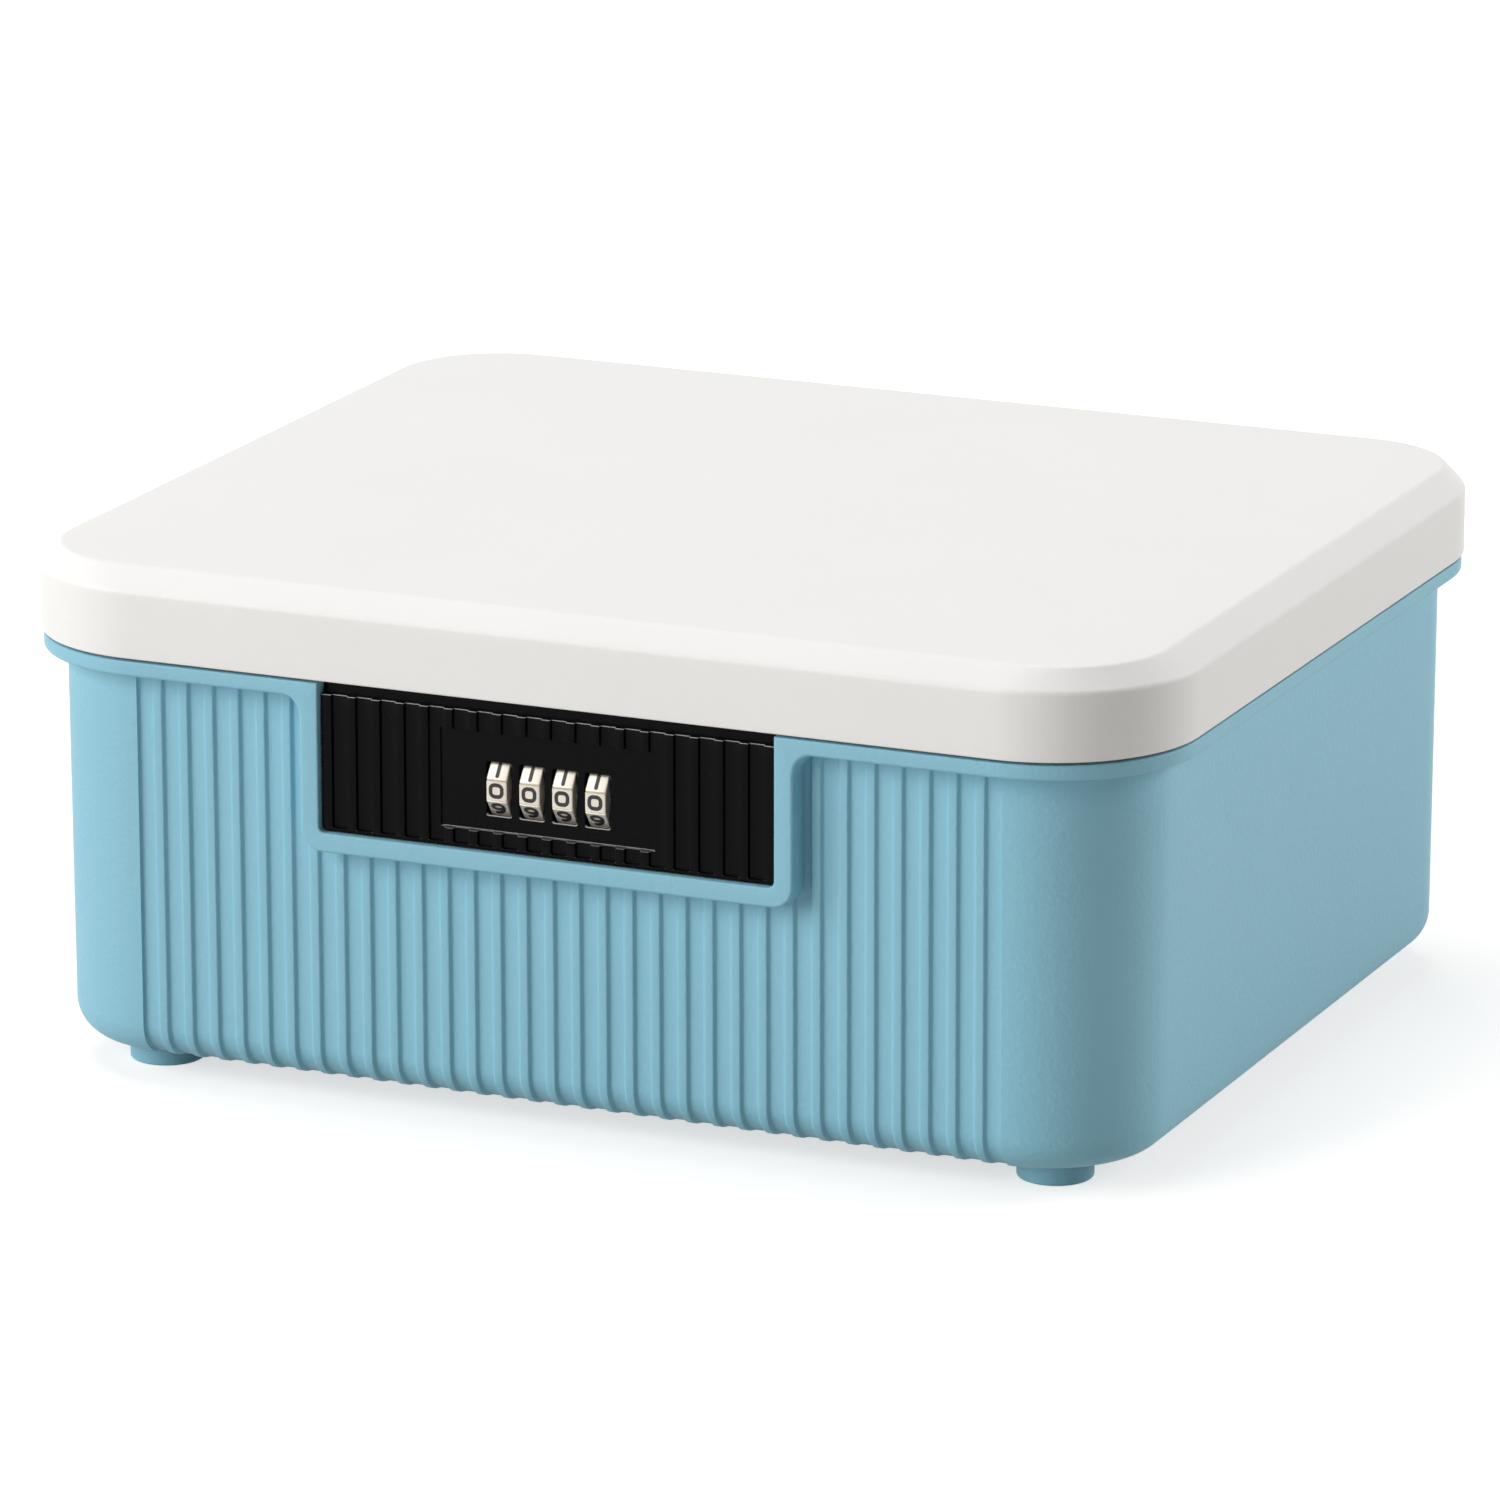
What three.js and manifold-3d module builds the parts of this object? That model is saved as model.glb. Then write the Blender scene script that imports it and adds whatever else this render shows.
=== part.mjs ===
// Medication lock box: a moulded tub with a fluted front, a hinged white lid,
// and a four-dial combination lock set into the front wall.
// Millimetres, +Z up, +X to the right as seen from the front, and the front faces -Y.
// Heights are worked out from the parting plane, where the lid meets the tub, and the
// whole model is lifted at the end so that the feet stand on z = 0.
import * as THREE from 'three';
import { mergeVertices } from 'three/addons/utils/BufferGeometryUtils.js';
import Module from 'manifold-3d';

const wasm = await Module();
wasm.setup();

// Driving sizes of the box
const boxWidth = 300;
const boxDepth = 254;
const cornerRadius = 37;
const tubHeight = 103.2;
const footHeight = 6;
const partingGap = 0.8;
const gap = 0.3;
const overrun = 1;

// Lid shell
const lidSideHeight = 16.6;
const lidEdgeRound = 1;
const lidBevelWidth = 5.4;
const lidBevelHeight = 4.3;
const lidTopCornerRadius = 27;
const lidCrown = 1;
const lidCrownRun = 60;
const lidWall = 2.5;
const lidBottomRound = 0.5;

// Lid liner, the inner skin that carries the locating lip
const linerThickness = 2.2;
const lipHeight = 3.4;
const lipWall = 1.6;
const lipClearance = 0.6;

// Tub wall, its rim flange and its floor
const rimInset = 0.6;
const rimProud = 5.8;
const rimFace = 2.5;
const rimUnderHeight = 2.4;
const wallThickness = 3;
const wallTaper = 0.6;
const floorThickness = 3;
const bottomFillet = 9;
const cavityFillet = 6;

// Seal strip, in a step round the top of the tub
const sealWidth = 2.8;
const sealStepDepth = 1.5;

// Flutes down the front of the tub
const fluteCount = 33;
const flutePitch = 6.93;
const fluteWidth = 4.2;
const fluteDepth = 1;

// Lock opening and the raised frame round it
const lockCentreX = -2;
const notchWidth = 119;
const notchHeight = 37.8;
const notchCornerRadius = 1.6;
const frameWidth = 4.9;
const frameCornerRadius = 5.5;
const frameEdgeChamfer = 0.7;
const frameFlareRadius = 4.5;
const frameFlareProud = 3.2;

// Lock faceplate
const panelRecess = 1.5;
const panelLedgeDrop = 2.8;
const panelBandDepth = 1.9;
const panelBandWall = 1.6;
const panelFluteCount = 18;
const panelFlutePitch = 6.4;
const panelFluteWidth = 3.9;
const panelFluteDepth = 0.8;
const pocketWidth = 56;
const pocketHeight = 24.4;
const pocketTop = 8.6;
const pocketDepth = 1.3;
const plateThickness = 2.6;
const shelfHeight = 2.2;
const bossRadius = 3.4;
const bossSpacingX = 64;
const bossSpacingZ = 15;

// Dials, their windows and the spindle
const dialCount = 4;
const dialPitch = 8.6;
const dialWidth = 5.4;
const dialFlats = 16;
const dialFacets = 10;
const dialChamfer = 0.4;
const dialProud = 1.5;
const dialCentreDrop = 22.5;
const windowWidth = 6.6;
const windowHeight = 13.2;
const spindleRadius = 1.6;
const spindleEndLength = 2.4;
const clipRadius = 3;
const clipThickness = 0.8;

// Code sleeves inside the dials, with a cupped rim that has one gate
const cupWall = 0.8;
const dialRingWall = 2.6;
const cupProud = 1.1;
const hubWall = 0.6;
const sleeveWebEnd = 0.8;

// Strike comb under the lid
const lugWidth = 1.4;
const lugHeight = 0.8;
const lugOverlap = 0.7;
const fingerThickness = 0.9;
const fingerDepth = 1.6;
const fingerSetBack = 1;
const fingerSwing = 0.8;
const combThickness = 1.2;
const combLength = 14;
const combEndMargin = 8;

// Lock case behind the faceplate
const caseWall = 1.6;
const caseEndRoom = 3.6;
const caseDialRoom = 0.6;
const caseRearRoom = 2.4;
const earThickness = 2;
const earHeight = 6;
const earMargin = 4;

// Detent spring behind the dials
const springThickness = 0.4;
const springTipGap = 0.35;
const leafWidth = 4.2;
const springFootHeight = 5;

// Hinges at the rear
const hingeSpacing = 170;
const hingeLength = 44;
const knuckleRadius = 4.4;
const knuckleEndLength = 12;
const knuckleSideGap = 0.5;
const hingeStandoff = 0.6;
const hingeDrop = 0.4;
const pinRadius = 2;
const pinHeadRadius = 3;
const pinHeadLength = 1.2;
const hingeArmHeight = 8;
const hingeWebHeight = 9;
const stopWidth = 1.6;
const lidOpenDegrees = 105;

// Feet
const footRadius = 9.3;
const footInsetX = 32;
const footInsetY = 29.5;
const footRound = 0.8;
const footStemRadius = 3;
const footBarbRadius = 3.8;
const footBarbHeight = 1.4;

// Screws
const screwRadius = 1.1;
const screwHeadRadius = 2.3;
const screwHeadHeight = 1.5;
const lidScrewBossRadius = 3.4;
const lidScrewBite = 7;
const lidScrewInset = 42;
const driveSlotWidth = 0.6;
const driveSlotDepth = 0.6;

// Facet counts
const cornerSteps = 9;
const roundSteps = 20;
const boreSteps = 12;
const knuckleSteps = 8;
const filletSteps = 4;
const mergeTolerance = 1e-5;

// Places that follow from the sizes
const halfWidth = boxWidth / 2;
const halfDepth = boxDepth / 2;
const frontY = -halfDepth;
const wallInset = rimInset + rimProud;
const innerInset = wallInset + wallThickness;
const rimTopZ = -partingGap;
const rimFaceEndZ = rimTopZ - rimFace;
const rimBottomZ = rimFaceEndZ - rimUnderHeight;
const tubBottomZ = -tubHeight;
const floorZ = tubBottomZ - footHeight;
const sealStepZ = rimTopZ - sealStepDepth;
const frameFaceY = frontY + rimInset;
const wallFaceY = frontY + wallInset;
const wallBackY = frontY + innerInset;
const panelFaceY = frameFaceY + panelRecess;
const pocketFloorY = panelFaceY + pocketDepth;
const plateBackY = pocketFloorY + plateThickness;
const bandFaceY = panelFaceY + panelBandDepth;
const ledgeFaceY = plateBackY + gap;
const dialRadius = dialFlats / 2;
const dialCornerRadius = dialRadius / Math.cos(Math.PI / dialFacets);
const dialAxisY = pocketFloorY - dialProud + dialRadius;
const dialAxisZ = -dialCentreDrop;
const cupOuterRadius = dialRadius - dialRingWall - gap;
const cupInnerRadius = cupOuterRadius - cupWall;
const hubRadius = spindleRadius + gap + hubWall;
const cupEndX = dialWidth / 2 + cupProud;
const lugStartX = cupEndX - lugOverlap;
const fingerStartX = cupEndX + 2 * gap;
const fingerEndX = fingerStartX + fingerThickness;
const hubEndX = dialPitch - dialWidth / 2 - gap;
const fingerY = dialAxisY + fingerSetBack;
const lugBottomZ = dialAxisZ + hubRadius + gap;
const rowHalf = (dialCount - 1) * dialPitch / 2;
const caseHalfInner = rowHalf + hubEndX + caseEndRoom;
const caseHalf = caseHalfInner + caseWall;
const caseTopInnerZ = dialAxisZ + dialCornerRadius + caseDialRoom;
const caseBottomInnerZ = dialAxisZ - dialCornerRadius - caseDialRoom;
const caseTopZ = caseTopInnerZ + caseWall;
const caseBottomZ = caseBottomInnerZ - caseWall;
const caseFrontY = plateBackY + gap;
const caseBackInnerY = dialAxisY + dialCornerRadius + caseRearRoom;
const caseBackY = caseBackInnerY + caseWall;
const openingHalf = caseHalf + spindleEndLength + gap;
const earFrontY = wallBackY + gap;
const lidTopZ = lidSideHeight + lidEdgeRound + lidBevelHeight;
const hingeAxisY = halfDepth + hingeStandoff + knuckleRadius;
const hingeAxisZ = -hingeDrop;
const hingeOverhang = hingeStandoff + 2 * knuckleRadius;
const screwHoleRadius = screwRadius + gap;
const dialCentres = [];
for (let i = 0; i < dialCount; i++) dialCentres.push(lockCentreX - rowHalf + i * dialPitch);

// Materials, with each colour as the object shows it
function finish(colour, roughness, metalness) {
  return new THREE.MeshStandardMaterial({ color: colour, roughness, metalness });
}
const tubBlue = finish(0x8fbed0, 0.55, 0);
const lidWhite = finish(0xf0f0ee, 0.55, 0);
const lockBlack = finish(0x1a1a1a, 0.45, 0);
const sealRubber = finish(0x101214, 0.85, 0);
const nickel = finish(0xd8d4cc, 0.25, 1);
const steel = finish(0xa8abad, 0.35, 1);
const innerPlastic = finish(0x2a2c2e, 0.6, 0);

// Booleans: a closed geometry becomes a solid, and a solid becomes a geometry again
function toSolid(geometry) {
  const bare = geometry.clone();
  bare.deleteAttribute('normal');
  bare.deleteAttribute('uv');
  const merged = mergeVertices(bare, mergeTolerance);
  return new wasm.Manifold(new wasm.Mesh({
    numProp: 3,
    vertProperties: new Float32Array(merged.attributes.position.array),
    triVerts: new Uint32Array(merged.index.array),
  }));
}

function toGeometry(solid) {
  const mesh = solid.getMesh();
  const geometry = new THREE.BufferGeometry();
  geometry.setAttribute('position', new THREE.BufferAttribute(new Float32Array(mesh.vertProperties), 3));
  geometry.setIndex(new THREE.BufferAttribute(new Uint32Array(mesh.triVerts), 1));
  geometry.computeVertexNormals();
  return geometry;
}

function joined(...geometries) {
  return toGeometry(geometries.map(toSolid).reduce((a, b) => a.add(b)));
}

function cut(geometry, tools) {
  const tool = tools.map(toSolid).reduce((a, b) => a.add(b));
  return toGeometry(toSolid(geometry).subtract(tool));
}

// Basic shapes
function block(x0, x1, y0, y1, z0, z1) {
  const geometry = new THREE.BoxGeometry(x1 - x0, y1 - y0, z1 - z0);
  return geometry.translate((x0 + x1) / 2, (y0 + y1) / 2, (z0 + z1) / 2);
}

function arc(centreU, centreV, radius, from, to, steps) {
  const points = [];
  for (let i = 0; i <= steps; i++) {
    const angle = from + (to - from) * i / steps;
    points.push(new THREE.Vector2(centreU + radius * Math.cos(angle), centreV + radius * Math.sin(angle)));
  }
  return points;
}

function extruded(points, depth) {
  return new THREE.ExtrudeGeometry(new THREE.Shape(points), { depth, bevelEnabled: false, curveSegments: 1 });
}

// An outline in (y, z) pushed along X
function alongX(points, x0, x1) {
  const place = new THREE.Matrix4().set(0, 0, 1, x0, 1, 0, 0, 0, 0, 1, 0, 0, 0, 0, 0, 1);
  return extruded(points, x1 - x0).applyMatrix4(place);
}

// An outline in (x, z) pushed along Y, from y1 forwards to y0
function alongY(points, y0, y1) {
  const place = new THREE.Matrix4().set(1, 0, 0, 0, 0, 0, -1, y1, 0, 1, 0, 0, 0, 0, 0, 1);
  return extruded(points, y1 - y0).applyMatrix4(place);
}

// Rods, with their ends at two places on one axis
function rodZ(radius, x, y, z0, z1, steps = boreSteps) {
  const geometry = new THREE.CylinderGeometry(radius, radius, z1 - z0, steps);
  return geometry.rotateX(Math.PI / 2).translate(x, y, (z0 + z1) / 2);
}

function rodY(radius, x, z, y0, y1, steps = boreSteps) {
  const geometry = new THREE.CylinderGeometry(radius, radius, y1 - y0, steps);
  return geometry.translate(x, (y0 + y1) / 2, z);
}

function rodX(radius, y, z, x0, x1, steps = boreSteps) {
  const geometry = new THREE.CylinderGeometry(radius, radius, x1 - x0, steps);
  return geometry.rotateZ(Math.PI / 2).translate((x0 + x1) / 2, y, z);
}

// A profile of (radius, height) pairs turned about Z
function turned(profile, steps = roundSteps) {
  const points = profile.map(([radius, height]) => new THREE.Vector2(radius, height));
  return new THREE.LatheGeometry(points, steps).rotateX(Math.PI / 2);
}

// One level of the box: a rectangle with round corners, drawn in from the lid's side by inset
function boxRing(inset, z, radius) {
  const x = halfWidth - inset;
  const y = halfDepth - inset;
  const corners = [[x, y, 0], [-x, y, 1], [-x, -y, 2], [x, -y, 3]];
  const ring = [];
  for (const [cornerX, cornerY, quarter] of corners) {
    const centreX = cornerX - Math.sign(cornerX) * radius;
    const centreY = cornerY - Math.sign(cornerY) * radius;
    const from = quarter * Math.PI / 2;
    for (const point of arc(centreX, centreY, radius, from, from + Math.PI / 2, cornerSteps)) {
      ring.push([point.x, point.y, z]);
    }
  }
  return ring;
}

// The corner keeps its centre as the wall is drawn in, down to a smallest radius
function cornerAt(inset) {
  return Math.max(cornerRadius - inset, cornerRadius / 8);
}

// A closed solid through a stack of rings with equal numbers of points
function stacked(rings) {
  const count = rings[0].length;
  const positions = rings.flat(2);
  const index = [];
  for (let level = 0; level + 1 < rings.length; level++) {
    for (let i = 0; i < count; i++) {
      const a = level * count + i;
      const b = level * count + (i + 1) % count;
      index.push(a, b, b + count, a, b + count, a + count);
    }
  }
  const top = (rings.length - 1) * count;
  for (let i = 1; i + 1 < count; i++) {
    index.push(0, i + 1, i);
    index.push(top, top + i, top + i + 1);
  }
  const geometry = new THREE.BufferGeometry();
  geometry.setAttribute('position', new THREE.Float32BufferAttribute(positions, 3));
  geometry.setIndex(index);
  return geometry;
}

// The box's own form through levels of inset and height, lowest first
function lofted(levels) {
  return stacked(levels.map(([inset, z, radius]) => boxRing(inset, z, radius ?? cornerAt(inset))));
}

// The tub's wall leans in a little towards the floor
function wallInsetAt(z) {
  return wallInset + wallTaper * (rimBottomZ - z) / (rimBottomZ - tubBottomZ);
}

// A quarter turn from the wall to the floor, as insets and heights, lowest first
function filletLevels(radius, insetAt, bottomZ) {
  const levels = [];
  for (let i = 0; i <= filletSteps; i++) {
    const angle = (Math.PI / 2) * (1 - i / filletSteps);
    const z = bottomZ + radius * (1 - Math.sin(angle));
    levels.push([insetAt(z) + radius * (1 - Math.cos(angle)), z]);
  }
  return levels;
}

function tubOutside() {
  const levels = filletLevels(bottomFillet, wallInsetAt, tubBottomZ);
  for (let i = 0; i <= filletSteps; i++) {
    const angle = (Math.PI / 2) * (1 - i / filletSteps);
    const z = rimFaceEndZ - rimUnderHeight * Math.sin(angle);
    levels.push([wallInset - rimProud * Math.cos(angle), z]);
  }
  levels.push([rimInset, rimTopZ]);
  return lofted(levels);
}

function tubCavity() {
  const cavityInsetAt = (z) => wallInsetAt(z) + wallThickness;
  const levels = filletLevels(cavityFillet, cavityInsetAt, tubBottomZ + floorThickness);
  levels.push([innerInset, rimBottomZ], [innerInset, sealStepZ]);
  const sealInset = innerInset - sealWidth - 2 * gap;
  return joined(
    lofted([...levels, [innerInset, rimTopZ + overrun]]),
    lofted([[sealInset, sealStepZ], [sealInset, rimTopZ + overrun]]),
  );
}

// One groove of the front wall, from under the rim to round the bottom fillet
function fluteTool(x) {
  const bottomInset = wallInsetAt(tubBottomZ + bottomFillet);
  const centreY = frontY + bottomInset + bottomFillet;
  const centreZ = tubBottomZ + bottomFillet;
  const outline = [
    new THREE.Vector2(wallFaceY - overrun, rimBottomZ),
    new THREE.Vector2(wallFaceY - overrun, tubBottomZ - overrun),
    new THREE.Vector2(centreY, tubBottomZ - overrun),
    ...arc(centreY, centreZ, bottomFillet - fluteDepth, -Math.PI / 2, -Math.PI, filletSteps),
    new THREE.Vector2(wallFaceY + fluteDepth, rimBottomZ),
  ];
  return alongX(outline, x - fluteWidth / 2, x + fluteWidth / 2);
}

// The U outline of the lock opening, grown by a margin on its three sides
function uOutline(margin, radius, topZ) {
  const half = notchWidth / 2 + margin;
  const bottom = -notchHeight - margin;
  return [
    new THREE.Vector2(lockCentreX - half, topZ),
    ...arc(lockCentreX - half + radius, bottom + radius, radius, Math.PI, 1.5 * Math.PI, filletSteps),
    ...arc(lockCentreX + half - radius, bottom + radius, radius, 1.5 * Math.PI, 2 * Math.PI, filletSteps),
    new THREE.Vector2(lockCentreX + half, topZ),
  ];
}

// The frame's outer edge, drawn in by inset
function frameOutline(inset) {
  return uOutline(frameWidth - inset, frameCornerRadius - inset, rimTopZ);
}

// The hollow corner where the frame's side runs into the rim's underside
function frameFlare(side) {
  const edge = lockCentreX + side * (notchWidth / 2 + frameWidth);
  const topZ = rimBottomZ + frameEdgeChamfer;
  const centreX = edge + side * frameFlareRadius;
  const centreZ = rimBottomZ - frameFlareRadius;
  const from = side > 0 ? Math.PI : 0;
  const outline = [
    new THREE.Vector2(edge - side * frameEdgeChamfer, topZ),
    new THREE.Vector2(edge - side * frameEdgeChamfer, centreZ),
    ...arc(centreX, centreZ, frameFlareRadius, from, Math.PI / 2, filletSteps),
    new THREE.Vector2(centreX, topZ),
  ];
  return alongY(side > 0 ? outline : outline.reverse(), wallFaceY - frameFlareProud, wallFaceY + fluteDepth);
}

// Screw places of the lock, as x and z
function lockScrewPlaces() {
  const places = [];
  for (const side of [-1, 1]) {
    for (const level of [-1, 1]) {
      places.push([lockCentreX + side * bossSpacingX / 2, dialAxisZ + level * bossSpacingZ / 2]);
    }
  }
  return places;
}

// Foot places, as x and y
function footPlaces() {
  const places = [];
  for (const sideY of [-1, 1]) {
    for (const sideX of [-1, 1]) {
      places.push([sideX * (halfWidth - footInsetX), sideY * (halfDepth - footInsetY)]);
    }
  }
  return places;
}

// Where the two hinges start and end along X, with the lid's knuckle between the tub's two
function hingeSpans() {
  return [-1, 1].map((side) => {
    const start = side * hingeSpacing / 2 - hingeLength / 2;
    const end = start + hingeLength;
    return {
      start,
      end,
      lidStart: start + knuckleEndLength + knuckleSideGap,
      lidEnd: end - knuckleEndLength - knuckleSideGap,
    };
  });
}

// A knuckle of the tub: a barrel on a web that grows out of the rear rim
function tubKnuckle(x0, x1) {
  const wallY = halfDepth - wallInset;
  const outline = [
    new THREE.Vector2(wallY, hingeAxisZ - hingeWebHeight),
    ...arc(hingeAxisY, hingeAxisZ, knuckleRadius, -Math.PI / 3, Math.PI, knuckleSteps),
    new THREE.Vector2(hingeAxisY - knuckleRadius, rimTopZ),
    new THREE.Vector2(wallY, rimTopZ),
  ];
  return alongX(outline, x0, x1);
}

// A knuckle of the lid: a barrel on an arm from the rear skirt
function lidKnuckle(x0, x1) {
  const skirtY = halfDepth - lidWall / 2;
  const outline = [
    new THREE.Vector2(skirtY, lidBottomRound),
    new THREE.Vector2(hingeAxisY - knuckleRadius, lidBottomRound),
    ...arc(hingeAxisY, hingeAxisZ, knuckleRadius, Math.PI, 2.25 * Math.PI, knuckleSteps),
    new THREE.Vector2(skirtY, hingeArmHeight),
  ];
  return alongX(outline, x0, x1);
}

// A tongue on the lid's barrel that meets the face of the rim when the lid is fully open
function lidStop(x0, x1) {
  const reach = hingeAxisY - (halfDepth - rimInset) - gap;
  const rimDrop = hingeAxisZ - (rimTopZ + rimFaceEndZ) / 2;
  const openAngle = Math.PI + Math.asin(rimDrop / reach);
  const closedAngle = openAngle + THREE.MathUtils.degToRad(lidOpenDegrees);
  const tongue = block(x0, x1, 0, reach, -stopWidth / 2, stopWidth / 2);
  return tongue.rotateX(closedAngle).translate(0, hingeAxisY, hingeAxisZ);
}

function baseTub() {
  const flutes = [];
  for (let i = 0; i < fluteCount; i++) flutes.push(fluteTool((i - (fluteCount - 1) / 2) * flutePitch));
  let tub = cut(tubOutside(), flutes);
  const knuckles = hingeSpans().flatMap(({ start, end }) => [
    tubKnuckle(start, start + knuckleEndLength),
    tubKnuckle(end - knuckleEndLength, end),
  ]);
  tub = joined(
    tub,
    alongY(frameOutline(frameEdgeChamfer), frameFaceY, wallBackY),
    alongY(frameOutline(0), frameFaceY + frameEdgeChamfer, wallBackY),
    frameFlare(-1),
    frameFlare(1),
    ...knuckles,
  );
  const tools = [
    tubCavity(),
    alongY(uOutline(0, notchCornerRadius, rimTopZ + overrun), frameFaceY - overrun, ledgeFaceY),
    block(
      lockCentreX - openingHalf, lockCentreX + openingHalf, frameFaceY, wallBackY + overrun,
      caseBottomZ - gap, rimTopZ + overrun,
    ),
  ];
  for (const [x, z] of lockScrewPlaces()) {
    tools.push(rodY(bossRadius + gap, x, z, plateBackY, wallBackY + overrun));
  }
  for (const [x, y] of footPlaces()) {
    tools.push(rodZ(footStemRadius + gap, x, y, tubBottomZ - overrun, tubBottomZ + floorThickness + overrun));
  }
  for (const { start, end } of hingeSpans()) {
    tools.push(rodX(pinRadius + gap, hingeAxisY, hingeAxisZ, start - overrun, end + overrun));
  }
  return cut(tub, tools);
}

// The lid's outer skin, lowest level first; corners tighten towards the flat top
function lidOutside() {
  const bevelStart = lidEdgeRound;
  const bevelEnd = lidEdgeRound + lidBevelWidth;
  const bevelStartZ = lidSideHeight + lidEdgeRound;
  const halfRound = lidEdgeRound / 3;
  return lofted([
    [lidBottomRound, 0],
    [0, lidBottomRound],
    [0, lidSideHeight],
    [halfRound, bevelStartZ - halfRound],
    [bevelStart, bevelStartZ],
    [bevelEnd, lidTopZ, lidTopCornerRadius],
    [lidCrownRun, lidTopZ + lidCrown],
  ]);
}

function lidInside() {
  const bevelEnd = lidEdgeRound + lidBevelWidth;
  return lofted([
    [lidWall, -overrun],
    [lidWall, lidSideHeight],
    [bevelEnd + lidWall / 2, lidTopZ - lidWall],
  ]);
}

// Screw places that hold the liner to the lid, and those that hold the comb as well
function linerScrewPlaces() {
  const places = [];
  for (const sideY of [-1, 1]) {
    for (const sideX of [-1, 1]) {
      places.push([sideX * (halfWidth - lidScrewInset), sideY * (halfDepth - lidScrewInset)]);
    }
  }
  return places;
}

const combHalf = rowHalf + fingerEndX + combEndMargin;
const combFrontY = fingerY - fingerDepth / 2;
const combTopZ = -gap;
const combBottomZ = combTopZ - combThickness;

function combScrewPlaces() {
  const y = combFrontY + combLength - screwHeadRadius - overrun;
  return [-1, 1].map((side) => [lockCentreX + side * (combHalf - screwHeadRadius - overrun), y]);
}

function lidShell() {
  const bosses = [...linerScrewPlaces(), ...combScrewPlaces()];
  const hollow = cut(lidOutside(), [lidInside()]);
  const bossBottomZ = linerThickness + gap;
  const shell = joined(
    hollow,
    ...bosses.map(([x, y]) => rodZ(lidScrewBossRadius, x, y, bossBottomZ, lidTopZ - lidWall / 2)),
    ...hingeSpans().map(({ lidStart, lidEnd }) => lidKnuckle(lidStart, lidEnd)),
    ...hingeSpans().map(({ lidStart, lidEnd }) => lidStop(lidStart, lidEnd)),
  );
  const holes = bosses.map(([x, y]) => {
    return rodZ(screwHoleRadius, x, y, bossBottomZ - overrun, linerThickness + lidScrewBite + overrun);
  });
  for (const { lidStart, lidEnd } of hingeSpans()) {
    holes.push(rodX(pinRadius + gap, hingeAxisY, hingeAxisZ, lidStart - overrun, lidEnd + overrun));
  }
  return cut(shell, holes);
}

function lidLiner() {
  const edge = lidWall + gap;
  const lipInset = innerInset + lipClearance;
  const plate = lofted([[edge, 0], [edge, linerThickness]]);
  const lip = lofted([[lipInset, -lipHeight], [lipInset, linerThickness / 2]]);
  const lipHollow = lofted([[lipInset + lipWall, -lipHeight - overrun], [lipInset + lipWall, 0]]);
  const combRoom = block(
    lockCentreX - combHalf - lipWall, lockCentreX + combHalf + lipWall,
    frontY, combFrontY + combLength, -lipHeight - overrun, 0,
  );
  const holes = [...linerScrewPlaces(), ...combScrewPlaces()].map(([x, y]) => {
    return rodZ(screwHoleRadius, x, y, -overrun, linerThickness + overrun);
  });
  return cut(joined(plate, cut(lip, [lipHollow, combRoom])), holes);
}

function rimSeal() {
  const outer = innerInset - sealWidth - gap;
  const inner = innerInset - gap;
  const body = lofted([[outer, sealStepZ], [outer, combTopZ]]);
  return cut(body, [lofted([[inner, sealStepZ - overrun], [inner, combTopZ + overrun]])]);
}

function lockFaceplate() {
  const ledgeZ = rimTopZ - panelLedgeDrop;
  const half = notchWidth / 2 - gap;
  const body = alongY(uOutline(-gap, notchCornerRadius, ledgeZ), panelFaceY, plateBackY);
  const band = block(
    lockCentreX - half, lockCentreX + half, bandFaceY, bandFaceY + panelBandWall, ledgeZ - overrun, rimTopZ,
  );
  const shelf = block(
    lockCentreX - openingHalf + gap, lockCentreX + openingHalf - gap,
    bandFaceY, wallBackY - gap, sealStepZ - shelfHeight, sealStepZ - gap,
  );
  const bosses = lockScrewPlaces().map(([x, z]) => rodY(bossRadius, x, z, plateBackY - overrun, wallBackY));
  const tools = [];
  for (let i = 0; i < panelFluteCount; i++) {
    const x = lockCentreX + (i - (panelFluteCount - 1) / 2) * panelFlutePitch;
    tools.push(block(
      x - panelFluteWidth / 2, x + panelFluteWidth / 2,
      panelFaceY - overrun, panelFaceY + panelFluteDepth, -notchHeight - overrun, ledgeZ + overrun,
    ));
  }
  tools.push(block(
    lockCentreX - pocketWidth / 2, lockCentreX + pocketWidth / 2,
    panelFaceY - overrun, pocketFloorY, -pocketTop - pocketHeight, -pocketTop,
  ));
  for (const x of dialCentres) {
    tools.push(block(
      x - windowWidth / 2, x + windowWidth / 2, pocketFloorY - overrun, plateBackY + overrun,
      dialAxisZ - windowHeight / 2, dialAxisZ + windowHeight / 2,
    ));
  }
  for (const [x, z] of lockScrewPlaces()) {
    tools.push(rodY(screwHoleRadius, x, z, pocketFloorY + plateThickness / 2, wallBackY + overrun));
  }
  // Room behind each window for its dial, and behind the bars between them for the sleeves
  const room = (radius, x0, x1) => {
    return alongX(arc(dialAxisY, dialAxisZ, radius, 0, 2 * Math.PI, roundSteps).slice(1), x0, x1);
  };
  for (const x of dialCentres) {
    tools.push(room(dialCornerRadius + gap, x - windowWidth / 2, x + windowWidth / 2));
  }
  tools.push(room(cupOuterRadius + gap, dialCentres[0], dialCentres[dialCount - 1] + hubEndX + gap));
  return cut(joined(body, band, shelf, ...bosses), tools);
}

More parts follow.
